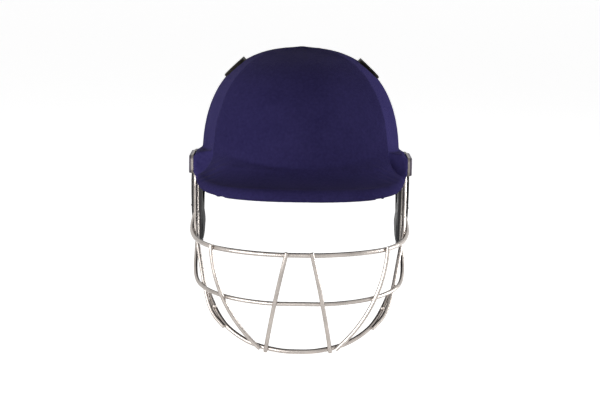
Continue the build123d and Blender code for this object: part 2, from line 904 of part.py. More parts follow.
def fit_system(seat):
    """Returns the pieces of the rear fit system by name, and its guides."""
    ring = u_ring(0, band_thickness, band_front_y, band_bottom, band_top)
    split = band_split / 2
    left = ring & block(split, shell_half_width, 0, shell_back, nape_bottom, nape_top)
    shell_y = band_middle_y + band_depth
    plate = u_ring(nape_gap + nape_thickness, nape_thickness, band_middle_y, nape_bottom, nape_top)
    plate &= nape_window(nape_half_width, nape_bottom, nape_top, nape_corner)
    pad = u_ring(-band_thickness - soft_gap, nape_pad_thickness, band_middle_y, nape_bottom, nape_top)
    margin = nape_pad_margin
    pad &= nape_window(
        nape_half_width - margin, nape_bottom + margin, nape_top - margin, nape_corner - margin
    )
    face_y = shell_y + nape_gap + nape_thickness
    back_y = face_y + housing_depth
    housing = dial_rod(face_y - nape_thickness / 2, back_y, housing_diameter)
    housing -= u_ring(nape_gap + nape_thickness, 2 * nape_thickness, 0, nape_bottom, nape_top)
    housing -= dial_rod(0, back_y - housing_wall, housing_diameter - 2 * housing_wall)
    housing -= dial_rod(0, back_y + overrun, axle_diameter + 2 * fit_gap)
    housing = housing.solids().sort_by(SortBy.VOLUME)[-1]
    knob_y = back_y + dial_gap
    knob = dial_rod(knob_y, knob_y + dial_depth, dial_diameter)
    knob = fillet(knob.edges().sort_by(Axis.Y)[-1], dial_grip_diameter / 2)
    plane = Plane(origin=(0, knob_y, dial_height), x_dir=(1, 0, 0), z_dir=(0, 1, 0))
    grips = Sketch()
    for spot in PolarLocations(dial_diameter / 2, dial_grip_count):
        grips += spot * Circle(dial_grip_diameter / 2)
    knob -= extrude(plane * grips, amount=dial_depth)
    pinion_back = back_y - housing_wall - dial_gap
    axle = dial_rod(pinion_back - pinion_depth, knob_y + dial_depth / 2, axle_diameter)
    knob -= dial_rod(0, knob_y + dial_depth / 2 + fit_gap, axle_diameter + 2 * fit_gap)
    gear = dial_rod(pinion_back - pinion_depth, pinion_back, pinion_diameter)
    teeth = Sketch()
    for spot in PolarLocations(pinion_diameter / 2, pinion_teeth):
        teeth += spot * Rectangle(pinion_tooth, pinion_tooth)
    gear += extrude(plane.offset(pinion_back - pinion_depth - knob_y) * teeth, amount=pinion_depth)
    slot_low, slot_high = band_bottom - guide_play, band_top + guide_play
    slot = u_ring(guide_play, band_thickness + 2 * guide_play, 0, slot_low, slot_high)
    guide = block(guide_inner, shell_half_width, guide_front_y, guide_back_y, guide_bottom, guide_top)
    guide = (guide & seat) - slot
    return {
        "band_left": left,
        "band_right": mirror_x(left),
        "nape_plate": plate,
        "nape_pad": pad,
        "dial_housing": housing,
        "size_dial": knob,
        "dial_pinion": axle + gear,
        "band_guides": both(guide.solids().sort_by(SortBy.VOLUME)[-1]),
    }


def strap_frame(piece):
    """Returns a strap piece moved from its own flat frame to its tucked place."""
    place = Location((0, strap_y, strap_z)) * Location((0, 0, 0), (strap_lean, 0, 0))
    return place * piece


def strap_path():
    """Returns the left half of the strap's line, X across and Y away from the hinge."""
    points = [(x * strap_half_span, up * strap_reach) for x, up in strap_shares]
    radii = [share * strap_bend for share in strap_bend_shares]
    return FilletPolyline(*points, radius=radii)


def strap_block(share, length, width, thickness):
    """Returns a block set along the strap at a share of its length."""
    path = strap_path()
    along = path % share
    plane = Plane(origin=path @ share, x_dir=along, z_dir=(0, 0, 1))
    face = plane * RectangleRounded(length, thickness, thickness * edge_round_share)
    return extrude(face, amount=width / 2, both=True)


def stand(piece):
    """Returns a piece drawn in plan turned to stand up: its Y becomes Z."""
    return piece.moved(Location((0, 0, 0), (90, 0, 0)))


def strap_ends(share, length):
    """Returns the shares where a block of a given length begins and ends."""
    whole = strap_path().length
    return share - length / whole / 2, share + length / whole / 2


def chin_strap(seat):
    """Returns the pieces of the chin strap by name, and its hangers."""
    path = strap_path()
    web = extrude(trace(path, strap_thickness), amount=strap_width / 2, both=True)
    eye = Location((strap_half_span, 0, 0), (0, 90, 0)) * Cylinder(
        strap_width / 2, strap_thickness
    )
    hole = Location((strap_half_span, 0, 0), (0, 90, 0)) * Cylinder(
        strap_eye / 2, strap_thickness + 2 * cup_gap
    )
    web = web + eye - hole
    length = buckle_length + plug_length + cup_gap
    start, end = strap_ends(buckle_share, length)
    whole = path.length
    socket_middle = start + buckle_length / whole / 2
    plug_middle = end - plug_length / whole / 2
    shell_part = strap_block(socket_middle, buckle_length, buckle_width, buckle_thickness)
    wall = 2 * buckle_wall
    room = strap_block(
        socket_middle + wall / whole, buckle_length, buckle_width - wall, buckle_thickness - wall
    )
    socket = shell_part - room
    plug = strap_block(plug_middle, plug_length, buckle_width, buckle_thickness)
    prong_middle = plug_middle - (plug_length + prong_length) / whole / 2
    for side in (-1, 1):
        prong = strap_block(
            prong_middle, prong_length + 2 * cup_gap, prong_width, buckle_thickness - wall - 2 * cup_gap
        )
        shift = side * (buckle_width / 2 - buckle_wall - cup_gap - prong_width / 2)
        plug += prong.moved(Location((0, 0, shift)))
    slide = strap_block(slide_share, slide_length, slide_width, slide_thickness)
    slot_width = strap_width + 2 * cup_gap
    slide -= strap_block(slide_share, overrun, slot_width, strap_thickness + 2 * cup_gap)
    gap_block = strap_block(buckle_share, length + 2 * cup_gap, overrun, overrun)
    left = web - gap_block
    keep = Location((0, strap_reach, 0)) * Box(
        2 * cup_half_width, cup_height, cup_height
    )
    chin_run = [(x * strap_half_span, up * strap_reach) for x, up in strap_shares[-2:]]
    band = Polyline(*chin_run, (0, strap_reach))
    lift = strap_thickness / 2 + cup_gap + cup_thickness / 2
    cup_line = offset_line(band, lift)
    cup = extrude(trace(cup_line, cup_thickness), amount=cup_height / 2, both=True)
    cup = cup + mirror_x(cup)
    flat = {
        "strap_left": left,
        "strap_right": mirror_x(web),
        "buckle_socket": socket,
        "buckle_plug": plug,
        "strap_slide": mirror_x(slide),
        "chin_cup": cup & keep,
    }
    pieces = {name: strap_frame(stand(piece)) for name, piece in flat.items()}
    pin = rod_x(pin_inner, hanger_inner + fit_gap, strap_y, strap_z, pin_diameter)
    pin += rod_x(pin_inner - pin_head_thickness, pin_inner, strap_y, strap_z, pin_head)
    half = hanger_size / 2
    hanger = block(
        hanger_inner, shell_half_width, strap_y - half, strap_y + half, strap_z - half, strap_z + half
    )
    hanger = fillet((hanger & seat).edges().filter_by(Axis.X), half / 2) + pin
    pieces["strap_hangers"] = both(hanger)
    return pieces


def offset_line(line, distance):
    """Returns a line of straight runs moved outward, away from the hinge."""
    points = [edge @ 0 for edge in line.edges()] + [line.edges()[-1] @ 1]
    return Polyline(*[(p.X, p.Y + distance) for p in points])


def build():
    """Returns every piece by name."""
    outer, middle = covered_body(0), covered_body(cloth_thickness)
    inner = dome(shell_inset)
    pocket = block(
        pocket_inner, shell_half_width + overrun,
        pocket_front_y, pocket_back_y, boss_foot_z - overrun, pocket_top,
    )
    cuts = both(pocket) + both(vent_opening())
    tip_x = boss_outer - insert_length
    for y in (pivot_y, clamp_y):
        cuts += both(rod_x(tip_x, boss_outer + overrun, y, pivot_z, insert_diameter + 2 * fit_gap))
    side = dome(0)
    for y in ear_screw_y:
        cuts += both(rod_x(0, boss_outer + overrun, y, ear_screw_z, screw_shank + 2 * fit_gap))
    pieces = {
        "cloth_cover": outer - middle - cuts,
        "outer_shell": middle - inner - cuts,
    }
    liner = (dome(liner_inset) & above_liner_rim()) - dome(liner_inner) - both(vent_opening())
    liner_half = liner & block(
        liner_split / 2, shell_half_width + overrun, -shell_front, shell_back, 0, crown_height
    )
    pieces["liner_left"], pieces["liner_right"] = liner_half, mirror_x(liner_half)
    pad_face, pad_back = dome(pad_outer), dome(pad_outer + pad_thickness)
    span = shell_half_width
    pieces["brow_pad"] = fitted_pad(
        pad_face, pad_back, -span, span, -shell_front, brow_pad_back_y, brow_pad_bottom, brow_pad_top
    )
    pieces["crown_pad"] = fitted_pad(
        pad_face, pad_back, -crown_pad_half_width, crown_pad_half_width,
        crown_pad_front_y, crown_pad_back_y, crown_pad_bottom, crown_height,
    )
    side_pad = fitted_pad(
        pad_face, pad_back, 0, span, side_pad_front_y, side_pad_back_y, side_pad_bottom, side_pad_top
    )
    pieces["side_pad_left"], pieces["side_pad_right"] = side_pad, mirror_x(side_pad)
    pieces["rim_binding"] = binding()
    frame, mesh = vent_frame(side), vent_mesh()
    pieces["vent_frame_left"], pieces["vent_frame_right"] = frame, mirror_x(frame)
    pieces["vent_mesh_left"], pieces["vent_mesh_right"] = mesh, mirror_x(mesh)
    shell_room = dome(-binding_lip - seat_gap) - below_rim(-binding_floor - seat_gap)
    cloth_body = dome(-fit_gap)
    ear = ear_guard(shell_room, cloth_body)
    pieces["ear_guard_left"], pieces["ear_guard_right"] = ear, mirror_x(ear)
    foam = ear_pad(shell_room) - ear_slots(ear_slot_width, 0)
    pieces["ear_pad_left"], pieces["ear_pad_right"] = foam, mirror_x(foam)
    screws = Part()
    for y in ear_screw_y:
        tip = reach_x(inner, y, ear_screw_z) + ear_screw_tip_gap
        screws += both(screw_x(ear_outer, tip, y, ear_screw_z, False))
    pieces["ear_guard_screws"] = screws
    inserts = Part()
    for y in (pivot_y, clamp_y):
        sleeve = rod_x(tip_x + fit_gap, boss_outer, y, pivot_z, insert_diameter)
        sleeve -= rod_x(0, boss_outer + overrun, y, pivot_z, screw_shank + 2 * fit_gap)
        inserts += both(sleeve)
    pieces["bracket_inserts"] = inserts
    pieces["pivot_screws"] = both(screw_x(washer_outer, tip_x + fit_gap, pivot_y, pivot_z, True))
    pieces["clamp_screws"] = both(screw_x(washer_outer, tip_x + fit_gap, clamp_y, pivot_z, True))
    washer = washer_plate()
    pieces["washer_plate_left"], pieces["washer_plate_right"] = washer, mirror_x(washer)
    pieces.update(guard())
    lip_room = below_rim(binding_height + seat_gap) - dome(shell_inset + binding_lip + seat_gap)
    seat = dome(liner_inset) - lip_room
    pieces.update(fit_system(seat))
    pieces.update(chin_strap(seat))
    return pieces


def binding():
    """Returns the edging that grips cloth and shell along the rim, behind the bosses."""
    band = below_rim(binding_height) - below_rim(-binding_floor)
    jacket = (dome(-binding_lip) - dome(shell_inset + binding_lip)) & band
    wall = dome(-binding_play) - dome(shell_inset + binding_play)
    strip = jacket - (wall - below_rim(-binding_play))
    behind = block(
        -shell_half_width - overrun, shell_half_width + overrun,
        boss_back_y + seat_gap, shell_back + overrun, -skirt_depth, crown_height,
    )
    return strip & behind


os.makedirs("parts", exist_ok=True)
foot = bottom_bar_drop + cross_wire / 2
middle_shift = (peak_reach - shell_back) / 2
home = Location((0, middle_shift, foot))
for name, piece in build().items():
    solids = piece.solids()
    whole = solids[0] if len(solids) == 1 else Compound(children=solids)
    export_step(whole.moved(home), f"parts/{name}.step")
print("pivot", pivot_y + middle_shift, pivot_z + foot)
print("strap", strap_y + middle_shift, strap_z + foot)
print("dial", dial_height + foot)
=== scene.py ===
"""A cricket helmet: knit-covered shell, steel wire guard, ear guards, pads, fit cradle and chin strap."""
import json
import logging
import math
from dataclasses import dataclass
from enum import Enum
from typing import Iterable, Sequence

import bmesh
import bpy
import numpy as np
from mathutils import Matrix, Quaternion, Vector
from mathutils.bvhtree import BVHTree
from mathutils.kdtree import KDTree


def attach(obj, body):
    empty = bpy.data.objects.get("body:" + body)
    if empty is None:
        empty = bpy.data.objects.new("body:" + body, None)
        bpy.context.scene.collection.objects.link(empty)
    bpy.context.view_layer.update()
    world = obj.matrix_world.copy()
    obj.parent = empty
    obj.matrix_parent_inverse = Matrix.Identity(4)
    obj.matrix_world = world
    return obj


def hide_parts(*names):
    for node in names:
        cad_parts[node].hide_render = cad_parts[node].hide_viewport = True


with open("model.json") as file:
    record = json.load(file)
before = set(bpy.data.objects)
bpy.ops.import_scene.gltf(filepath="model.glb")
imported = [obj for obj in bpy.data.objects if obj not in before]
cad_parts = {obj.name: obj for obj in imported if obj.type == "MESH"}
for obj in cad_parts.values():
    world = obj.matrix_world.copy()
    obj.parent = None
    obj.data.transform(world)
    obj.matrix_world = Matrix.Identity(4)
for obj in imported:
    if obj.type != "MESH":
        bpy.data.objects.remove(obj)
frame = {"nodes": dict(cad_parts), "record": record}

log = logging.getLogger("cricket_helmet")

Triple = tuple[float, float, float]
Colour = Triple
Socket = bpy.types.NodeSocket
Thing = bpy.types.Object

MM = 0.001
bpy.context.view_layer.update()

# The middle of the wearer's sight line, from which the places below are measured
SIGHT = Vector((0, 17.5, 130.05)) * MM


class Side(Enum):
    """The wearer's left or right, with its sign along X."""

    LEFT = 1
    RIGHT = -1

    @property
    def tag(self) -> str:
        """The side's name as it stands in a node's name."""
        return self.name.lower()


class Tone(Enum):
    """How a moulded black piece takes the light."""

    SATIN = 0.42
    MATT = 0.62
    GLOSS = 0.22


def spot(x: float, y: float, z: float) -> Vector:
    """A point given in millimetres from the middle of the sight line, in the frame."""
    return SIGHT + Vector((x, y, z)) * MM


class Recipe:
    """One material's node tree, with short calls that grow it."""

    def __init__(self, name: str, colour: Colour, roughness: float, metallic: float = 0.0) -> None:
        """Starts a material on a Principled shader.

        Args:
            name: The material's name.
            colour: Its linear base colour.
            roughness: Its mean roughness.
            metallic: 1 for bare metal, 0 for the rest.
        """
        self.material = bpy.data.materials.new(name)
        self.material.use_nodes = True
        self.tree = self.material.node_tree
        self.shader = self.tree.nodes["Principled BSDF"]
        self.colour = colour
        self.heights: list[tuple[Socket, float]] = []
        self.set("Base Color", (*colour, 1))
        self.set("Roughness", roughness)
        self.set("Metallic", metallic)

    def set(self, name: str, value: object) -> None:
        """Sets one of the shader's own sockets, or links a socket to it."""
        self.feed(self.shader.inputs[name], value)

    def feed(self, socket: Socket, value: object) -> None:
        """Links a socket to an input, or sets the input to a constant.

        Args:
            socket: The input.
            value: What it is linked or set to.
        """
        if isinstance(value, Socket):
            self.tree.links.new(value, socket)
        else:
            socket.default_value = value

    def add(self, kind: str, feeds: dict[int | str, object], **settings: object) -> bpy.types.Node:
        """Adds a node.

        Args:
            kind: The node's type.
            feeds: What each of its inputs is linked or set to.
            **settings: The node's own properties.

        Returns:
            The new node.
        """
        node = self.tree.nodes.new(kind)
        for name, value in settings.items():
            setattr(node, name, value)
        for key, value in feeds.items():
            self.feed(node.inputs[key], value)
        return node

    def place(self) -> Socket:
        """The point on the piece, in metres, which rides with it."""
        return self.add("ShaderNodeTexCoord", {}).outputs["Object"]

    def stored(self, name: str, output: str = "Fac") -> Socket:
        """A value stored on the mesh's points."""
        return self.add("ShaderNodeAttribute", {}, attribute_name=name).outputs[output]

    def maths(self, operation: str, *values: object) -> Socket:
        """The result of one sum on numbers or sockets."""
        return self.add("ShaderNodeMath", dict(enumerate(values)), operation=operation).outputs[0]

    def noise(self, size: float, detail: float = 2.0) -> Socket:
        """Cloudy values from 0 to 1, in clouds of a size in metres."""
        feeds = {"Vector": self.place(), "Scale": 1 / size, "Detail": detail}
        return self.add("ShaderNodeTexNoise", feeds).outputs["Fac"]

    def cells(self, size: float, feature: str = "F1") -> Socket:
        """Distances in a pattern of cells of a size in metres."""
        feeds = {"Vector": self.place(), "Scale": 1 / size}
        return self.add("ShaderNodeTexVoronoi", feeds, feature=feature).outputs["Distance"]

    def ranged(self, value: Socket, low: float, high: float, first: float, last: float) -> Socket:
        """A value moved from one range to another, held at both ends."""
        feeds = {"Value": value, "From Min": low, "From Max": high, "To Min": first, "To Max": last}
        return self.add("ShaderNodeMapRange", feeds).outputs["Result"]

    def mixed(self, share: object, first: object, second: object) -> Socket:
        """A colour between two, each a colour or a socket."""
        feeds = {0: share, 6: opaque(first), 7: opaque(second)}
        return self.add("ShaderNodeMix", feeds, data_type="RGBA").outputs[2]

    def shaded(self, value: Socket, low: float, high: float) -> Socket:
        """Makes the base colour darker or lighter by a value from 0 to 1.

        Args:
            value: The value.
            low: What the colour is multiplied by at 0.
            high: What it is multiplied by at 1.

        Returns:
            The colour's socket.
        """
        dark = tuple(part * low for part in self.colour)
        pale = tuple(part * high for part in self.colour)
        return self.mixed(value, dark, pale)

    def raise_by(self, height: Socket, depth: float) -> None:
        """Adds a relief whose full height is depth, in metres."""
        self.heights.append((height, depth))

    def done(self) -> bpy.types.Material:
        """Chains the reliefs into the shader's normal.

        Returns:
            The finished material.
        """
        normal = None
        for height, depth in self.heights:
            feeds = {"Height": height, "Strength": 1.0, "Distance": depth}
            if normal is not None:
                feeds["Normal"] = normal
            normal = self.add("ShaderNodeBump", feeds).outputs["Normal"]
        if normal is not None:
            self.set("Normal", normal)
        return self.material


def opaque(value: object) -> object:
    """A colour with its alpha, or a socket as it is."""
    return value if isinstance(value, Socket) else (*value, 1)


@dataclass(frozen=True)
class StretchKnit:
    """Navy stretch knit, drawn tight, with fine wales, a soft side sheen and painted panel light: side
    panels painted lighter, the front panel darker.
    """

    colour: Colour = (0.027, 0.022, 0.088)
    pale: Colour = (0.042, 0.035, 0.126)
    # Painted shade and light: what the front panel's colour is multiplied by, and what the side panels'
    # colour is multiplied by
    panel_painted_shade: float = 0.82
    panel_painted_light: float = 1.16
    wale: float = 0.85 * MM
    course: float = 0.62 * MM
    slant: float = 0.55
    relief: float = 0.16 * MM
    seam_width: float = 1.1 * MM

    def material(self) -> bpy.types.Material:
        """Builds the knit from the thread and seam values stored on the cover.

        Returns:
            The finished material.
        """
        knit = Recipe("navy_stretch_knit", self.colour, 0.72)
        thread = self.thread_of(knit)
        across = knit.maths("DIVIDE", thread.outputs["X"], self.wale)
        leg = knit.maths("ABSOLUTE", knit.maths("SUBTRACT", knit.maths("FRACT", across), 0.5))
        along = knit.maths("DIVIDE", thread.outputs["Y"], self.course)
        climb = knit.maths("MULTIPLY_ADD", leg, 2 * self.slant, along)
        row = knit.maths("ABSOLUTE", knit.maths("SUBTRACT", knit.maths("FRACT", climb), 0.5))
        crest = knit.ranged(row, 0.0, 0.42, 1.0, 0.0)
        gutter = knit.ranged(leg, 0.0, 0.12, 0.4, 1.0)
        loop = knit.maths("MULTIPLY", crest, gutter)
        yarn = knit.noise(2.6 * MM, 3.0)
        cloud = knit.noise(46 * MM, 3.0)
        tone = knit.maths("ADD", knit.maths("MULTIPLY", yarn, 0.55), knit.maths("MULTIPLY", cloud, 0.45))
        base = knit.mixed(knit.ranged(tone, 0.3, 0.7, 0.0, 1.0), self.colour, self.pale)
        shadow = knit.ranged(loop, 0.0, 1.0, 0.82, 1.06)
        base = knit.add("ShaderNodeHueSaturation", {"Color": base, "Value": shadow}).outputs["Color"]
        groove = knit.ranged(knit.stored("seam"), 0.0, self.seam_width, 0.72, 1.0)
        base = knit.add("ShaderNodeHueSaturation", {"Color": base, "Value": groove}).outputs["Color"]
        # Painted light: the side panels are painted lighter and the front panel darker, as the side lamps
        # light them
        nap_and_panel_light = knit.ranged(knit.stored("panel"), 0.0, 1.0, self.panel_painted_shade, self.panel_painted_light)
        base = knit.add("ShaderNodeHueSaturation", {"Color": base, "Value": nap_and_panel_light}).outputs["Color"]
        knit.set("Base Color", base)
        knit.set("Roughness", knit.ranged(yarn, 0.3, 0.7, 0.64, 0.8))
        knit.set("Specular IOR Level", 0.0)
        knit.set("Sheen Weight", 0.09)
        knit.set("Sheen Roughness", 0.32)
        knit.set("Sheen Tint", (0.56, 0.52, 0.80, 1))
        knit.raise_by(loop, self.relief)
        knit.raise_by(yarn, 0.5 * self.relief)
        return knit.done()

    @staticmethod
    def thread_of(knit: Recipe) -> bpy.types.Node:
        """The thread's two directions, as a node with X and Y outputs."""
        return knit.add("ShaderNodeSeparateXYZ", {0: knit.stored("thread", "Vector")})


@dataclass(frozen=True)
class SatinSteel:
    """Steel with a satin plated finish."""

    name: str
    colour: Colour
    roughness: float = 0.33
    metallic: float = 1.0
    relief: float = 0.03 * MM

    def material(self) -> bpy.types.Material:
        """Builds the metal with drawn grain, faint clouding and soft spots.

        Returns:
            The finished material.
        """
        steel = Recipe(self.name, self.colour, self.roughness, self.metallic)
        cloud = steel.noise(14 * MM, 4.0)
        grain = steel.noise(0.7 * MM, 2.0)
        steel.set("Base Color", steel.shaded(steel.ranged(cloud, 0.35, 0.7, 0.0, 1.0), 0.86, 1.08))
        clouded = steel.ranged(cloud, 0.3, 0.7, -0.06, 0.07)
        drawn = steel.ranged(grain, 0.3, 0.7, -0.03, 0.03)
        rough = steel.maths("ADD", clouded, drawn)
        steel.set("Roughness", steel.maths("ADD", rough, self.roughness))
        steel.raise_by(grain, self.relief)
        return steel.done()


@dataclass(frozen=True)
class Moulding:
    """Black moulded plastic or rubber with a fine spark-eroded grain."""

    name: str
    colour: Colour
    tone: Tone
    grain: float = 0.5 * MM
    relief: float = 0.05 * MM
    gloss: float = 0.3

    def material(self) -> bpy.types.Material:
        """Builds the plastic with its grain, handling marks and dull patches.

        Returns:
            The finished material.
        """
        body = Recipe(self.name, self.colour, self.tone.value)
        pits = body.noise(self.grain, 2.0)
        cloud = body.noise(22 * MM, 3.0)
        scuff = body.ranged(body.noise(3.2 * MM, 5.0), 0.62, 0.72, 0.0, 1.0)
        worn = body.maths("MULTIPLY", scuff, 0.35)
        marked = tuple(2.2 * part for part in self.colour)
        body.set("Base Color", body.mixed(worn, body.shaded(cloud, 0.8, 1.25), marked))
        clouded = body.ranged(cloud, 0.3, 0.7, -0.05, 0.06)
        rough = body.maths("ADD", clouded, body.maths("MULTIPLY", scuff, 0.08))
        body.set("Roughness", body.maths("ADD", rough, self.tone.value))
        body.set("Specular IOR Level", self.gloss)
        body.raise_by(pits, self.relief)
        return body.done()


@dataclass(frozen=True)
class BeadFoam:
    """Dark moulded bead foam, with the outline of each bead."""

    colour: Colour = (0.045, 0.045, 0.05)
    bead: float = 3.4 * MM
    relief: float = 0.3 * MM

    def material(self) -> bpy.types.Material:
        """Builds the foam from cells, darker along their edges.

        Returns:
            The finished material.
        """
        foam = Recipe("dark_bead_foam", self.colour, 0.78)
        edge = foam.ranged(foam.cells(self.bead, "DISTANCE_TO_EDGE"), 0.0, 0.12, 0.0, 1.0)
        foam.set("Base Color", foam.shaded(edge, 0.55, 1.15))
        foam.raise_by(edge, self.relief)
        foam.raise_by(foam.noise(0.6 * MM, 2.0), 0.3 * self.relief)
        return foam.done()


@dataclass(frozen=True)
class BrushedTricot:
    """Napped lining cloth over soft foam."""

    name: str
    colour: Colour
    fibre: float = 0.55 * MM
    relief: float = 0.12 * MM

    def material(self) -> bpy.types.Material:
        """Builds the nap from two noises, with a sheen at grazing angles.

        Returns:
            The finished material.
        """
        cloth = Recipe(self.name, self.colour, 0.85)
        nap_and_panel_light = cloth.noise(self.fibre, 3.0)
        cloud = cloth.noise(9 * MM, 3.0)
        both = cloth.maths("ADD", cloth.maths("MULTIPLY", nap_and_panel_light, 0.5), cloth.maths("MULTIPLY", cloud, 0.5))
        cloth.set("Base Color", cloth.shaded(cloth.ranged(both, 0.3, 0.7, 0.0, 1.0), 0.7, 1.35))
        cloth.set("Sheen Weight", 0.4)
        cloth.set("Sheen Roughness", 0.5)
        cloth.raise_by(nap_and_panel_light, self.relief)
        return cloth.done()


@dataclass(frozen=True)
class Webbing:
    """Flat woven tape, with ribs along it and picks across it."""

    colour: Colour = (0.022, 0.022, 0.026)
    rib: float = 1.5 * MM
    pick: float = 0.8 * MM
    relief: float = 0.18 * MM

    def material(self) -> bpy.types.Material:
        """Builds the weave from the tape's own length and width.

        Returns:
            The finished material.
        """
        tape = Recipe("black_webbing", self.colour, 0.7)
        weave = tape.add("ShaderNodeSeparateXYZ", {0: tape.stored("thread", "Vector")})
        rib = tape.maths("SINE", tape.maths("MULTIPLY", weave.outputs["Y"], 2 * math.pi / self.rib))
        pick = tape.maths("SINE", tape.maths("MULTIPLY", weave.outputs["X"], 2 * math.pi / self.pick))
        cross = tape.maths("MULTIPLY", rib, pick)
        height = tape.ranged(tape.maths("ADD", cross, rib), -2.0, 2.0, 0.0, 1.0)
        # Painted shade and light: the weave's low parts are painted darker and its raised ribs lighter
        tape.set("Base Color", tape.shaded(height, 0.65, 1.5))
        tape.set("Sheen Weight", 0.2)
        tape.raise_by(height, self.relief)
        return tape.done()


@dataclass(frozen=True)
class SoftLeather:
    """Black leather with fine pebbled grain."""

    colour: Colour = (0.028, 0.025, 0.024)
    pebble: float = 1.1 * MM
    relief: float = 0.14 * MM

    def material(self) -> bpy.types.Material:
        """Builds the grain from cells with creases between them.

        Returns:
            The finished material.
        """
        hide = Recipe("black_soft_leather", self.colour, 0.5)
        grain = hide.ranged(hide.cells(self.pebble), 0.1, 0.8, 1.0, 0.0)
        cloud = hide.noise(12 * MM, 3.0)
        hide.set("Base Color", hide.shaded(cloud, 0.75, 1.3))
        hide.set("Roughness", hide.ranged(grain, 0.0, 1.0, 0.62, 0.44))
        hide.raise_by(grain, self.relief)
        return hide.done()


STEEL = SatinSteel("satin_nickel_steel", (0.44, 0.40, 0.37), 0.28)
PLATE_STEEL = SatinSteel("bracket_steel", (0.19, 0.17, 0.16), 0.42)
COATED_PLATE = SatinSteel("coated_grey_plate", (0.07, 0.06, 0.08), 0.46, 0.65)
SCREW_STEEL = SatinSteel("zinc_screw", (0.42, 0.41, 0.42), 0.30)
INSERT_BRASS = SatinSteel("insert_brass", (0.70, 0.52, 0.22), 0.34)
SHELL_PLASTIC = Moulding("shell_plastic", (0.02, 0.02, 0.026), Tone.SATIN)
VENT_PLASTIC = Moulding("vent_plastic", (0.012, 0.010, 0.009), Tone.MATT, gloss=0.08)
GUARD_PLASTIC = Moulding("ear_guard_plastic", (0.014, 0.013, 0.014), Tone.SATIN, gloss=0.22)
FIT_PLASTIC = Moulding("cradle_nylon", (0.02, 0.02, 0.022), Tone.MATT)
DIAL_PLASTIC = Moulding("dial_soft_touch", (0.035, 0.035, 0.04), Tone.MATT)
BUCKLE_PLASTIC = Moulding("buckle_acetal", (0.014, 0.014, 0.015), Tone.GLOSS, 1.6 * MM, 0.02 * MM)
EDGE_RUBBER = Moulding("edge_rubber", (0.012, 0.012, 0.014), Tone.MATT)
PAD_CLOTH = BrushedTricot("pad_tricot", (0.030, 0.030, 0.036))
EAR_CLOTH = BrushedTricot("ear_pad_cloth", (0.020, 0.020, 0.023))


def linked(name: str, mesh: bpy.types.Mesh) -> Thing:
    """Adds a mesh to the scene.

    Args:
        name: The new piece's name.
        mesh: Its mesh.

    Returns:
        The new piece.
    """
    piece = bpy.data.objects.new(name, mesh)
    bpy.context.scene.collection.objects.link(piece)
    return piece


def points_of(mesh: bpy.types.Mesh) -> np.ndarray:
    """Reads a mesh's points.

    Args:
        mesh: The mesh.

    Returns:
        Rows of x, y, z.
    """
    flat = np.zeros(3 * len(mesh.vertices))
    mesh.vertices.foreach_get("co", flat)
    return flat.reshape(-1, 3)


def put_points(mesh: bpy.types.Mesh, points: np.ndarray) -> None:
    """Moves a mesh's points to new places."""
    mesh.vertices.foreach_set("co", points.ravel())
    mesh.update()


def normals_of(mesh: bpy.types.Mesh) -> np.ndarray:
    """Reads a mesh's normals at its points.

    Args:
        mesh: The mesh.

    Returns:
        Rows of x, y, z.
    """
    flat = np.zeros(3 * len(mesh.vertices))
    mesh.vertex_normals.foreach_get("vector", flat)
    return flat.reshape(-1, 3)


def frozen(piece: Thing) -> None:
    """Applies a piece's modifiers to its mesh.

    Args:
        piece: The piece to change.
    """
    graph = bpy.context.evaluated_depsgraph_get()
    mesh = bpy.data.meshes.new_from_object(piece.evaluated_get(graph))
    piece.modifiers.clear()
    piece.data = mesh


def smooth(piece: Thing) -> None:
    """Shades all of a piece's faces smooth."""
    piece.data.shade_smooth()


def voxel_copy(name: str, nodes: Sequence[str], voxel: float) -> Thing:
    """Makes an even quad mesh round several CAD solids taken as one.

    Args:
        name: The new piece's name.
        nodes: The CAD nodes that it wraps.
        voxel: The size of its quads, in metres.

    Returns:
        The new piece.
    """
    joined = bmesh.new()
    for node in nodes:
        joined.from_mesh(frame["nodes"][node].data)
    bmesh.ops.remove_doubles(joined, verts=joined.verts, dist=0.001 * MM)
    mesh = bpy.data.meshes.new(name)
    joined.to_mesh(mesh)
    joined.free()
    piece = linked(name, mesh)
    remesh = piece.modifiers.new("voxels", "REMESH")
    remesh.mode = "VOXEL"
    remesh.voxel_size = voxel
    frozen(piece)
    return piece


def tree_of(nodes: Iterable[str]) -> BVHTree:
    """Makes a search tree over the faces of CAD nodes.

    Args:
        nodes: The nodes' names.

    Returns:
        The tree.
    """
    joined = bmesh.new()
    for node in nodes:
        joined.from_mesh(frame["nodes"][node].data)
    tree = BVHTree.FromBMesh(joined)
    joined.free()
    return tree


def relaxed(mesh: bpy.types.Mesh, rounds: int, factor: float = 0.5) -> None:
    """Evens a mesh's points out by moving each towards the mean of its neighbours.

    Args:
        mesh: The mesh to change.
        rounds: How many times it is done.
        factor: How far a point goes each time.
    """
    edges = np.zeros(2 * len(mesh.edges), int)
    mesh.edges.foreach_get("vertices", edges)
    one, two = edges.reshape(-1, 2).T
    points = points_of(mesh)
    count = np.bincount(edges, minlength=len(points)).clip(1)[:, None]
    for _ in range(rounds):
        total = np.zeros_like(points)
        np.add.at(total, one, points[two])
        np.add.at(total, two, points[one])
        points += factor * (total / count - points)
    put_points(mesh, points)


def snapped(mesh: bpy.types.Mesh, tree: BVHTree) -> None:
    """Moves each point onto the nearest place of a search tree's faces.

    Args:
        mesh: The mesh to change.
        tree: The search tree.
    """
    points = points_of(mesh)
    for index, point in enumerate(points):
        points[index] = tree.find_nearest(Vector(point))[0]
    put_points(mesh, points)


def store(mesh: bpy.types.Mesh, name: str, values: np.ndarray) -> None:
    """Stores one number, or one vector, on each of a mesh's points."""
    kind, key = ("FLOAT", "value") if values.ndim == 1 else ("FLOAT_VECTOR", "vector")
    mesh.attributes.new(name, kind, "POINT").data.foreach_set(key, values.astype(np.float32).ravel())


def dressed(piece: Thing, material: bpy.types.Material) -> None:
    """Gives a new piece its one material."""
    piece.data.materials.clear()
    piece.data.materials.append(material)


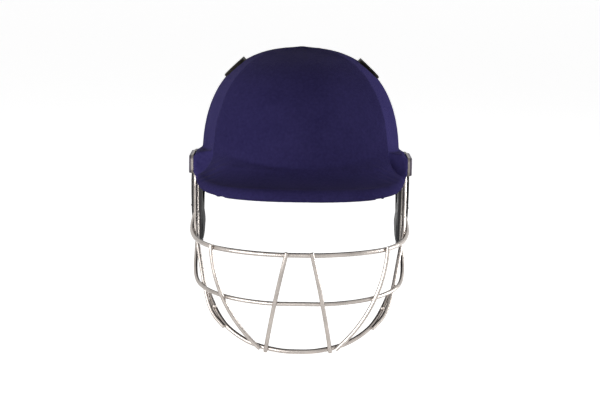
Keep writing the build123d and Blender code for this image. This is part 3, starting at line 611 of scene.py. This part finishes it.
def carried(material: bpy.types.Material, *nodes: str) -> None:
    """Gives CAD nodes that stay as they are a better material.

    Args:
        material: The material.
        *nodes: The nodes' names.
    """
    for node in nodes:
        for place in frame["nodes"][node].material_slots:
            place.material = material


def seated(piece: Thing, body: str, slot: str, *nodes: str) -> None:
    """Sets a finished piece on its body.

    Args:
        piece: The finished piece.
        body: The CAD body that it rides on.
        slot: The record's material slot; not used.
        *nodes: The CAD nodes that it stands for.
    """
    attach(piece, body)
    if nodes:
        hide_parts(*nodes)
    log.info("%s rides on %s", piece.name, body)


# The soft boxes: name, place, width and height in metres, and power in watts
LAMPS = (
    ("left_box", (-1.35, -1.15, 0.26), 0.9, 1.0, 24.0),
    ("right_box", (1.60, 0.20, 0.30), 0.7, 1.0, 34.0),
    ("front_fill", (-0.95, -2.3, 0.12), 1.1, 0.6, 36.0),
)


@dataclass
class Studio:
    """The camera, the pale floor, the room's light and three soft boxes."""

    distance: float = 1.8
    elevation: float = math.radians(8.0)
    roll: float = math.radians(0.85)
    lens: float = 106.9
    sensor: float = 36.0
    floor_half: float = 14.0
    floor_glow: float = 0.86
    fade_from: float = 0.05
    fade_to: float = 0.75
    side_light: float = 0.17
    top_light: float = 0.02

    def build(self) -> None:
        """Makes the camera, floor, world and lamps."""
        self.camera()
        self.floor()
        self.world()
        for name, place, width, height, power in LAMPS:
            self.lamp(name, Vector(place), width, height, power)
        bpy.context.scene.view_settings.view_transform = "Standard"

    def camera(self) -> None:
        """Looks at the middle of the sight line from the front, a little above it."""
        data = bpy.data.cameras.new("camera")
        data.lens = self.lens
        data.sensor_width = self.sensor
        camera = bpy.data.objects.new("camera", data)
        bpy.context.scene.collection.objects.link(camera)
        back = Vector((0, -math.cos(self.elevation), math.sin(self.elevation)))
        camera.location = SIGHT + self.distance * back
        camera.rotation_mode = "QUATERNION"
        camera.rotation_quaternion = (-back).to_track_quat("-Z", "Y") @ Quaternion((0, 0, 1), self.roll)
        bpy.context.scene.camera = camera

    def floor(self) -> None:
        """Lays a pale floor that the camera sees as white outside the shadow."""
        half = self.floor_half
        corners = [(-half, -half, 0), (half, -half, 0), (half, half, 0), (-half, half, 0)]
        mesh = bpy.data.meshes.new("floor")
        mesh.from_pydata(corners, [], [(0, 1, 2, 3)])
        floor = linked("floor", mesh)
        pale = Recipe("pale_floor", (0.86, 0.86, 0.86), 0.9)
        rays = pale.add("ShaderNodeLightPath", {})
        seen = pale.maths("MAXIMUM", rays.outputs["Is Camera Ray"], rays.outputs["Is Glossy Ray"])
        seen = pale.maths("MAXIMUM", seen, rays.outputs["Is Transmission Ray"])
        pale.set("Emission Color", (1, 1, 1, 1))
        pale.set("Emission Strength", pale.maths("MULTIPLY", seen, self.floor_glow))
        dressed(floor, pale.done())

    def world(self) -> None:
        """Lights the room evenly from the sides and less from above."""
        world = bpy.data.worlds.new("room")
        world.use_nodes = True
        bpy.context.scene.world = world
        nodes, links = world.node_tree.nodes, world.node_tree.links
        background = nodes["Background"]
        place = nodes.new("ShaderNodeTexCoord")
        split = nodes.new("ShaderNodeSeparateXYZ")
        fade = nodes.new("ShaderNodeMapRange")
        rays = nodes.new("ShaderNodeLightPath")
        pick = nodes.new("ShaderNodeMix")
        fade.inputs["From Min"].default_value = self.fade_from
        fade.inputs["From Max"].default_value = self.fade_to
        fade.inputs["To Min"].default_value = self.side_light
        fade.inputs["To Max"].default_value = self.top_light
        pick.inputs[3].default_value = 1.0
        links.new(place.outputs["Generated"], split.inputs[0])
        links.new(split.outputs["Z"], fade.inputs["Value"])
        seen = rays.outputs["Is Camera Ray"]
        for kind in ("Is Glossy Ray", "Is Transmission Ray"):
            either = nodes.new("ShaderNodeMath")
            either.operation = "MAXIMUM"
            links.new(seen, either.inputs[0])
            links.new(rays.outputs[kind], either.inputs[1])
            seen = either.outputs[0]
        links.new(seen, pick.inputs[0])
        links.new(fade.outputs["Result"], pick.inputs[2])
        links.new(pick.outputs[0], background.inputs["Strength"])
        background.inputs["Color"].default_value = (1, 1, 1, 1)

    def lamp(self, name: str, place: Vector, width: float, height: float, power: float) -> None:
        """Hangs one soft box that faces the helmet.

        Args:
            name: The lamp's name.
            place: Where it hangs, in metres.
            width: Its width in metres.
            height: Its height in metres.
            power: Its power in watts.
        """
        data = bpy.data.lights.new(name, "AREA")
        data.shape = "RECTANGLE"
        data.size = width
        data.size_y = height
        data.energy = power
        lamp = bpy.data.objects.new(name, data)
        lamp.location = place
        lamp.rotation_mode = "QUATERNION"
        lamp.rotation_quaternion = (SIGHT - place).to_track_quat("-Z", "Y")
        bpy.context.scene.collection.objects.link(lamp)


@dataclass(frozen=True)
class DragFold:
    """A patch of folds where the knit drags, alike on both sides.

    Lengths are in millimetres, and the middle is measured from the middle of the sight line.
    """

    middle: Triple
    across: Triple
    pitch: float
    reach: float
    height: float

    def rise(self, local: np.ndarray) -> np.ndarray:
        """How high the folds stand.

        Args:
            local: Points in millimetres from the middle of the sight line.

        Returns:
            The height at each point, in metres.
        """
        away = np.column_stack([np.abs(local[:, 0]), local[:, 1], local[:, 2]]) - np.array(self.middle)
        wave = np.sin(2 * math.pi * (away @ np.array(self.across)) / self.pitch)
        return self.height * MM * wave * np.exp(-((np.linalg.norm(away, axis=1) / self.reach) ** 2))


DRAG_FOLDS = (
    DragFold((84.0, -86.0, 38.0), (0.25, 0.35, 0.90), 7.0, 15.0, 0.55),
    DragFold((97.0, -58.0, 40.0), (0.10, 0.55, 0.83), 6.0, 9.0, 0.40),
    DragFold((99.0, -34.0, 30.0), (0.15, 0.95, 0.20), 9.0, 12.0, 0.30),
)


@dataclass
class KnitCover:
    """The stretch knit over the shell: one tight skin in four cut panels.

    Lengths are in millimetres from the middle of the sight line.
    """

    half_width: float = 99.0
    front: float = 112.0
    back: float = 125.0
    crown: float = 153.5
    brow: float = 35.7
    voxel: float = 1.35 * MM
    catch: float = 1.1 * MM
    groove: float = 0.35 * MM
    groove_width: float = 1.3 * MM
    wide_power: float = 2.5
    deep_power: float = 2.3
    ridge_out: float = 0.845
    ridge_ahead: float = 0.57
    ridge_lean: float = 0.16
    seam_out: float = 0.80
    seam_behind: float = 0.66
    seam_steps: int = 160
    ridge_rise: float = 1.9 * MM
    ridge_spread: float = 9.0 * MM
    root_height: float = 44.0
    root_rise: float = 0.5 * MM
    root_width: float = 2.4
    root_from: float = 0.5
    root_fade: float = 0.3
    # How lit each panel is painted, front, rear and side, from 0 to 1
    panel_light_shares: Triple = (0.0, 0.4, 1.0)
    hem_rounds: int = 14
    nodes: tuple[str, ...] = ("cloth_cover", "outer_shell", "liner_left", "liner_right")

    def build(self) -> None:
        cover = voxel_copy("knit_cover", self.nodes, self.voxel)
        tree = tree_of(["cloth_cover"])
        self.keep_outside(cover, tree)
        snapped(cover.data, tree)
        self.hem(cover.data)
        relaxed(cover.data, 4)
        self.seam_and_fold(cover.data)
        smooth(cover)
        dressed(cover, StretchKnit().material())
        seated(cover, "helmet", "cover_cloth", "cloth_cover")

    def keep_outside(self, cover: Thing, tree: BVHTree) -> None:
        """Deletes all of the wrapped solids' skin but the cloth's own.

        Args:
            cover: The skin round the cloth and what is under it.
            tree: A search tree over the cloth's own faces.
        """
        skin = bmesh.new()
        skin.from_mesh(cover.data)
        lost = []
        for point in skin.verts:
            distance = tree.find_nearest(point.co)[3]
            if distance > self.catch:
                lost.append(point)
        bmesh.ops.delete(skin, geom=lost, context="VERTS")
        loose = [point for point in skin.verts if not point.link_faces]
        bmesh.ops.delete(skin, geom=loose, context="VERTS")
        skin.to_mesh(cover.data)
        skin.free()

    def seam_point(self, share: float, out: float, depth: float) -> Vector:
        """A point of a seam on the left.

        Args:
            share: Its height, from the brow at 0 to the crown at 1.
            out: How far out the seam starts, as a share of the half width.
            depth: Its place front to back.

        Returns:
            The point, in millimetres from the middle of the sight line.
        """
        wide = (1 - share**self.wide_power) ** (1 / self.wide_power)
        height = self.brow + share * (self.crown - self.brow)
        return Vector((out * self.half_width * wide, depth, height))

    def front_depth(self, share: float | np.ndarray) -> float | np.ndarray:
        """Where the front ridges stand front to back, from the brow at 0 to the crown at 1.

        Args:
            share: One height, or one for each point.

        Returns:
            The place, in millimetres from the middle of the sight line.
        """
        deep = (1 - share**self.deep_power) ** (1 / self.deep_power)
        return -(self.ridge_ahead + self.ridge_lean * share**2) * self.front * deep

    def rear_depth(self, share: float | np.ndarray) -> float | np.ndarray:
        """Where the rear seams stand front to back, from the side at 0 to the crown at 1."""
        deep = (1 - share**self.deep_power) ** (1 / self.deep_power)
        return self.seam_behind * self.back * deep

    def hem(self, mesh: bpy.types.Mesh) -> None:
        """Evens out the cover's cut edges, along the edges alone.

        Args:
            mesh: The cover's mesh, which it changes.
        """
        skin = bmesh.new()
        skin.from_mesh(mesh)
        edges = [edge for edge in skin.edges if edge.is_boundary]
        for _ in range(self.hem_rounds):
            total: dict[bmesh.types.BMVert, list[Vector]] = {}
            for edge in edges:
                one, two = edge.verts
                total.setdefault(one, []).append(two.co.copy())
                total.setdefault(two, []).append(one.co.copy())
            for point, beside in total.items():
                point.co = point.co.lerp(sum(beside, Vector()) / len(beside), 0.5)
        skin.to_mesh(mesh)
        skin.free()

    @staticmethod
    def nearness(lines: Sequence[Vector], local: np.ndarray) -> np.ndarray:
        """How far points lie from a seam, on either side alike.

        Args:
            lines: The seam's points on the left.
            local: Points in millimetres from the middle of the sight line.

        Returns:
            Each point's distance from the nearest of the seam's points, in metres.
        """
        search = KDTree(len(lines))
        for index, place in enumerate(lines):
            search.insert(place, index)
        search.balance()
        return np.array([search.find(Vector((abs(x), y, z)))[2] for x, y, z in local]) * MM

    def seam_and_fold(self, mesh: bpy.types.Mesh) -> None:
        """Draws the ridges up, sinks the seams, lays the folds and stores what the knit reads.

        Args:
            mesh: The cover's mesh, which it changes.
        """
        shares = np.linspace(0, 1, self.seam_steps)
        points = points_of(mesh)
        local = (points - np.array(SIGHT)) / MM
        ridge = [self.seam_point(share, self.ridge_out, self.front_depth(share)) for share in shares]
        seam = [self.seam_point(share, self.seam_out, self.rear_depth(share)) for share in shares]
        front = self.nearness(ridge, local)
        rear = self.nearness(seam, local)
        near = np.minimum(front, rear)
        lift = sum(fold.rise(local) for fold in DRAG_FOLDS)
        lift -= self.groove * np.exp(-((near / self.groove_width) ** 2))
        lift += self.ridge_rise * np.exp(-front / self.ridge_spread)
        brow = (-local[:, 1] / self.front - self.root_from).clip(0, self.root_fade) / self.root_fade
        lift += self.root_rise * brow * np.exp(-(((local[:, 2] - self.root_height) / self.root_width) ** 2))
        points += normals_of(mesh) * lift[:, None]
        put_points(mesh, points)
        store(mesh, "seam", near)
        store(mesh, "thread", self.thread(local))
        ahead, behind = self.panels(local)
        # Painted light: the share by which the knit paints each panel lighter or darker
        front_lit, rear_lit, side_lit = self.panel_light_shares
        store(mesh, "panel", np.where(ahead, front_lit, np.where(behind, rear_lit, side_lit)))

    def panels(self, local: np.ndarray) -> tuple[np.ndarray, np.ndarray]:
        """Finds the front and rear panels.

        Args:
            local: Points in millimetres from the middle of the sight line.

        Returns:
            Whether each point lies on the front panel, and whether on the rear one.
        """
        _, y, z = local.T
        share = ((z - self.brow) / (self.crown - self.brow)).clip(0, 0.999)
        return y < self.front_depth(share), y > self.rear_depth(share)

    def thread(self, local: np.ndarray) -> np.ndarray:
        """The run of the knit, panel by panel.

        Args:
            local: Points in millimetres from the middle of the sight line.

        Returns:
            Each point's place along the courses and the wales, in metres.
        """
        x, y, z = local.T
        ahead, behind = self.panels(local)
        across = np.where(ahead | behind, x, y)
        reach = np.where(ahead | behind, np.abs(y), np.abs(x))
        climb = np.arctan2(z - self.brow, reach) * 0.5 * (self.half_width + self.front)
        climb = np.where(z > self.brow, climb, z - self.brow)
        return np.column_stack([across, climb, np.zeros_like(x)]) * MM


@dataclass
class ShellParts:
    """The shell's own hard pieces: moulding, liner, edging and vents."""

    def build(self) -> None:
        """Dresses the shell, liner, edging and vents."""
        carried(SHELL_PLASTIC.material(), "outer_shell")
        carried(BeadFoam().material(), "liner_left", "liner_right")
        carried(EDGE_RUBBER.material(), "rim_binding")
        vent = VENT_PLASTIC.material()
        for side in Side:
            carried(vent, f"vent_frame_{side.tag}", f"vent_mesh_{side.tag}")


@dataclass
class Cushion:
    """A soft pad made from its CAD solid: swelled by a cloth simulation, then quilted."""

    name: str
    node: str
    body: str
    slot: str
    voxel: float = 2.4 * MM
    draw_in: float = 0.9 * MM
    cap: float = 1.1 * MM
    pressure: float = 4.0
    frames: int = 20
    channel_axis: Vector | None = None
    channel_pitch: float = 24.0 * MM
    channel_depth: float = 1.1 * MM
    channel_width: float = 2.2 * MM
    fill: float = 0.7

    def build(self, material: bpy.types.Material) -> Thing:
        """Makes the pad.

        Args:
            material: Its cloth or leather.

        Returns:
            The finished piece.
        """
        pad = voxel_copy(self.name, [self.node], self.voxel)
        relaxed(pad.data, 3)
        put_points(pad.data, points_of(pad.data) - self.draw_in * normals_of(pad.data))
        self.swell(pad)
        if self.channel_axis is not None:
            self.quilt(pad)
        self.subdivide(pad)
        smooth(pad)
        dressed(pad, material)
        seated(pad, self.body, self.slot, self.node)
        return pad

    def swell(self, pad: Thing) -> None:
        """Blows the pad up as cloth under pressure and holds how far each point goes.

        Args:
            pad: The pad, whose mesh it changes.
        """
        start = points_of(pad.data)
        cloth = pad.modifiers.new("swell", "CLOTH")
        cloth.settings.use_pressure = True
        cloth.settings.uniform_pressure_force = self.pressure
        cloth.settings.effector_weights.gravity = 0
        cloth.point_cache.frame_start = 1
        cloth.point_cache.frame_end = self.frames
        for step in range(1, self.frames + 1):
            bpy.context.scene.frame_set(step)
        frozen(pad)
        bpy.context.scene.frame_set(1)
        moved = points_of(pad.data) - start
        length = np.linalg.norm(moved, axis=1).clip(1e-9)[:, None]
        put_points(pad.data, start + moved * np.minimum(1, self.cap / length))

    def quilt(self, pad: Thing) -> None:
        """Sinks straight sewn channels across the pad, square to its channel axis.

        Args:
            pad: The pad, whose mesh it changes.
        """
        points = points_of(pad.data)
        along = points @ np.array(self.channel_axis)
        offset = (along + self.channel_pitch / 2) % self.channel_pitch - self.channel_pitch / 2
        depth = self.channel_depth * np.exp(-((offset / self.channel_width) ** 2))
        put_points(pad.data, points - normals_of(pad.data) * depth[:, None])

    @staticmethod
    def subdivide(pad: Thing) -> None:
        """Adds one level of subdivision."""
        pad.modifiers.new("round", "SUBSURF").levels = 1
        frozen(pad)


@dataclass
class ComfortPads:
    """The pads stuck inside the liner."""

    def build(self) -> None:
        """Makes the brow, crown, side and nape pads."""
        cloth = PAD_CLOTH.material()
        sideways = Vector((1, 0, 0))
        endways = Vector((0, 1, 0))
        Cushion("brow_cushion", "brow_pad", "helmet", "pad_fabric", channel_axis=sideways).build(cloth)
        Cushion("crown_cushion", "crown_pad", "helmet", "pad_fabric", channel_axis=endways).build(cloth)
        for side in Side:
            name, node = f"side_cushion_{side.tag}", f"side_pad_{side.tag}"
            Cushion(name, node, "helmet", "pad_fabric", channel_axis=endways).build(cloth)
        Cushion("nape_cushion", "nape_pad", "fit_cradle", "pad_fabric", channel_axis=sideways).build(cloth)


@dataclass
class EarGuards:
    """The moulded ear guards, their screws and the foam inside them."""

    def build(self) -> None:
        """Dresses both guards and makes both ear pads."""
        plastic = GUARD_PLASTIC.material()
        cloth = EAR_CLOTH.material()
        carried(SCREW_STEEL.material(), "ear_guard_screws")
        for side in Side:
            carried(plastic, f"ear_guard_{side.tag}")
            name, node = f"ear_cushion_{side.tag}", f"ear_pad_{side.tag}"
            sizes = {"voxel": 1.6 * MM, "draw_in": 0.5 * MM, "cap": 0.8 * MM}
            Cushion(name, node, "helmet", "ear_foam", **sizes).build(cloth)


@dataclass
class WireGuard:
    """The welded wire guard, its bracket plates and the screws that clamp it."""

    bead: float = 2.0 * MM

    def build(self) -> None:
        """Dresses the wires and plates and adds a weld bead at each crossing."""
        steel = STEEL.material()
        wires = ["top_bar", "middle_bar", "bottom_bar"]
        for side in Side:
            wires += [f"{run}_upright_{side.tag}" for run in ("centre", "cheek", "side")]
        carried(steel, *wires)
        plate = PLATE_STEEL.material()
        washer = COATED_PLATE.material()
        for side in Side:
            carried(plate, f"bracket_plate_{side.tag}")
            carried(washer, f"washer_plate_{side.tag}")
        carried(SCREW_STEEL.material(), "pivot_screws", "clamp_screws")
        carried(INSERT_BRASS.material(), "bracket_inserts")
        self.welds(steel)

    def welds(self, steel: bpy.types.Material) -> None:
        """Lays a rounded bead where two wires are joined, one piece for all.

        Args:
            steel: The wires' own steel.
        """
        beads = bmesh.new()
        for one, two in frame["record"]["behaviour"]["press_fits"]:
            for place in self.meetings(one, two):
                where = Matrix.Translation(place) @ Matrix.Scale(self.bead, 4)
                bmesh.ops.create_icosphere(beads, subdivisions=3, radius=1.0, matrix=where)
        mesh = bpy.data.meshes.new("weld_beads")
        beads.to_mesh(mesh)
        beads.free()
        piece = linked("weld_beads", mesh)
        smooth(piece)
        dressed(piece, steel)
        seated(piece, "face_guard", "guard_steel")

    @staticmethod
    def meetings(one: str, two: str) -> list[Vector]:
        """Finds where two CAD nodes cross.

        Args:
            one: A node's name.
            two: The other's name.

        Returns:
            The middle of each crossing, one at most on each side.
        """
        pairs = tree_of([one]).overlap(tree_of([two]))
        faces = frame["nodes"][one].data.polygons
        centres = [faces[face].center.copy() for face, _ in pairs]
        sides = [[place for place in centres if place.x * side.value > 0] for side in Side]
        return [sum(places, Vector()) / len(places) for places in sides if places]


@dataclass
class FitCradle:
    """The rear cradle: bands, nape plate, dial and its housing."""

    def build(self) -> None:
        """Dresses the cradle's hard pieces."""
        carried(
            FIT_PLASTIC.material(), "band_left", "band_right", "band_guides", "nape_plate", "dial_housing",
            "dial_pinion", "strap_hangers",
        )
        carried(DIAL_PLASTIC.material(), "size_dial")


@dataclass
class ChinStrap:
    """The webbing, its buckle and slide, and the chin cup.

    Lengths are in millimetres, in the strap's own plane: across, and away from its hinge.
    """

    half_span: float = 78.4
    reach: float = 98.0
    width: float = 16.0
    thickness: float = 1.6
    hinge_y: float = 20.0
    hinge_z: float = 23.0
    lean: float = math.radians(20.0)
    shares: tuple[tuple[float, float], ...] = (
        (1.0, 0.0), (0.94, 0.34), (0.72, 0.71), (0.41, 0.95), (0.27, 1.0),
    )
    bends: tuple[float, ...] = (18.0, 15.0, 12.0)
    edge_round: float = 0.5
    step: float = 2.0
    gap_middle: float = 0.50
    gap_length: float = 30.0

    def build(self) -> None:
        """Makes both webbing runs and the cup, and dresses the fittings."""
        web = Webbing().material()
        line = self.line()
        self.tape("webbing_right", [Vector((-p.x, p.y)) for p in line], web, "strap_right")
        length = sum((b - a).length for a, b in zip(line, line[1:]))
        start = self.gap_middle * length - self.gap_length / 2
        end = self.gap_middle * length + self.gap_length / 2
        self.tape("webbing_left_low", self.part(line, 0, start), web, "strap_left")
        self.tape("webbing_left_high", self.part(line, end, length), web, "strap_left")
        buckle = BUCKLE_PLASTIC.material()
        carried(buckle, "buckle_socket", "buckle_plug", "strap_slide")
        sizes = {"voxel": 0.9 * MM, "draw_in": 0.25 * MM, "cap": 0.4 * MM}
        cup = Cushion("chin_cushion", "chin_cup", "chin_strap", "cup_leather", **sizes)
        cup.build(SoftLeather().material())

    def line(self) -> list[Vector]:
        """Draws the webbing's middle line on the left.

        Returns:
            Its points in the strap's plane, from the hinge to the chin.
        """
        corners = [Vector((x * self.half_span, up * self.reach)) for x, up in self.shares]
        line = [corners[0]]
        for before, here, after, radius in zip(corners, corners[1:], corners[2:], self.bends):
            line += rounded(before, here, after, radius)
        line.append(corners[-1])
        return line

    @staticmethod
    def part(line: Sequence[Vector], start: float, end: float) -> list[Vector]:
        """Cuts a stretch out of a line.

        Args:
            line: The line's points.
            start: How far along it the stretch starts.
            end: How far along it the stretch ends.

        Returns:
            The stretch's points.
        """
        stretch, run = [], 0.0
        for before, after in zip(line, line[1:]):
            length = (after - before).length
            low, high = max(start, run), min(end, run + length)
            if low < high:
                ends = [before.lerp(after, (edge - run) / length) for edge in (low, high)]
                stretch += ends if not stretch else ends[1:]
            run += length
        return stretch

    def lifted(self, place: Vector, across: float, out: float, normal: Vector) -> Vector:
        """Finds a point of the tape's section in the frame.

        Args:
            place: The section's place on the line.
            across: How far across the tape the point lies.
            out: How far through its thickness.
            normal: The direction out of its flat side.

        Returns:
            The point, in metres.
        """
        flat = place + normal * out
        up = flat.y * math.cos(self.lean) - across * math.sin(self.lean)
        ahead = -flat.y * math.sin(self.lean) - across * math.cos(self.lean)
        return spot(flat.x, self.hinge_y + ahead, self.hinge_z + up)

    def tape(self, name: str, line: list[Vector], material: bpy.types.Material, node: str) -> None:
        """Sweeps the webbing's section along a line.

        Args:
            name: The new piece's name.
            line: Its middle line in the strap's plane.
            material: The webbing.
            node: The CAD node that it stands for.
        """
        line = evened(line, self.step)
        half, thick = self.width / 2, self.thickness / 2
        flat = half - self.edge_round
        section = [(-half, 0), (-flat, thick), (-half / 2, thick), (0, thick), (half / 2, thick)]
        section += [(flat, thick), (half, 0)]
        section += [(across, -out) for across, out in reversed(section[1:-1])]
        points, thread, run = [], [], 0.0
        for index, place in enumerate(line):
            ahead = line[min(index + 1, len(line) - 1)] - line[max(index - 1, 0)]
            normal = Vector((-ahead.y, ahead.x)).normalized()
            run += (place - line[index - 1]).length if index else 0.0
            for across, out in section:
                points.append(self.lifted(place, across, out, normal))
                thread.append((run * MM, across * MM, 0.0))
        ring = len(section)
        faces = [
            (a * ring + b, a * ring + (b + 1) % ring, (a + 1) * ring + (b + 1) % ring, (a + 1) * ring + b)
            for a in range(len(line) - 1)
            for b in range(ring)
        ]
        faces += [tuple(reversed(range(ring))), tuple(range(len(points) - ring, len(points)))]
        mesh = bpy.data.meshes.new(name)
        mesh.from_pydata(points, [], faces)
        store(mesh, "thread", np.array(thread))
        piece = linked(name, mesh)
        smooth(piece)
        dressed(piece, material)
        seated(piece, "chin_strap", "strap_webbing", node)


def rounded(before: Vector, here: Vector, after: Vector, radius: float, steps: int = 8) -> list[Vector]:
    """The points of the arc that rounds one corner of a flat line.

    Args:
        before: The point before the corner.
        here: The corner.
        after: The point after it.
        radius: The arc's radius.
        steps: How many points it gets.

    Returns:
        The arc's points in order.
    """
    back, on = (before - here).normalized(), (after - here).normalized()
    half = back.angle(on) / 2
    middle = here + (back + on).normalized() * (radius / math.sin(half))
    start = here + back * (radius / math.tan(half)) - middle
    end = here + on * (radius / math.tan(half)) - middle
    return [middle + start.slerp(end, step / steps) for step in range(steps + 1)]


def evened(line: Sequence[Vector], step: float) -> list[Vector]:
    """Sets a line's points at even distances.

    Args:
        line: The line's points.
        step: About how far apart they should be.

    Returns:
        The new points.
    """
    lengths = np.cumsum([0.0] + [(b - a).length for a, b in zip(line, line[1:])])
    count = max(2, round(lengths[-1] / step) + 1)
    stops = np.linspace(0, lengths[-1], count)
    flat = [np.interp(stops, lengths, [place[axis] for place in line]) for axis in range(2)]
    return [Vector(place) for place in zip(*flat)]


def main() -> None:
    """Builds the studio and then the helmet, from the shell inwards."""
    logging.basicConfig(level=logging.INFO, format="%(name)s: %(message)s")
    kinds = (Studio, KnitCover, ShellParts, ComfortPads, EarGuards, WireGuard, FitCradle, ChinStrap)
    for kind in kinds:
        kind().build()
        log.info("built %s", kind.__name__)


if __name__ == "__main__":
    main()
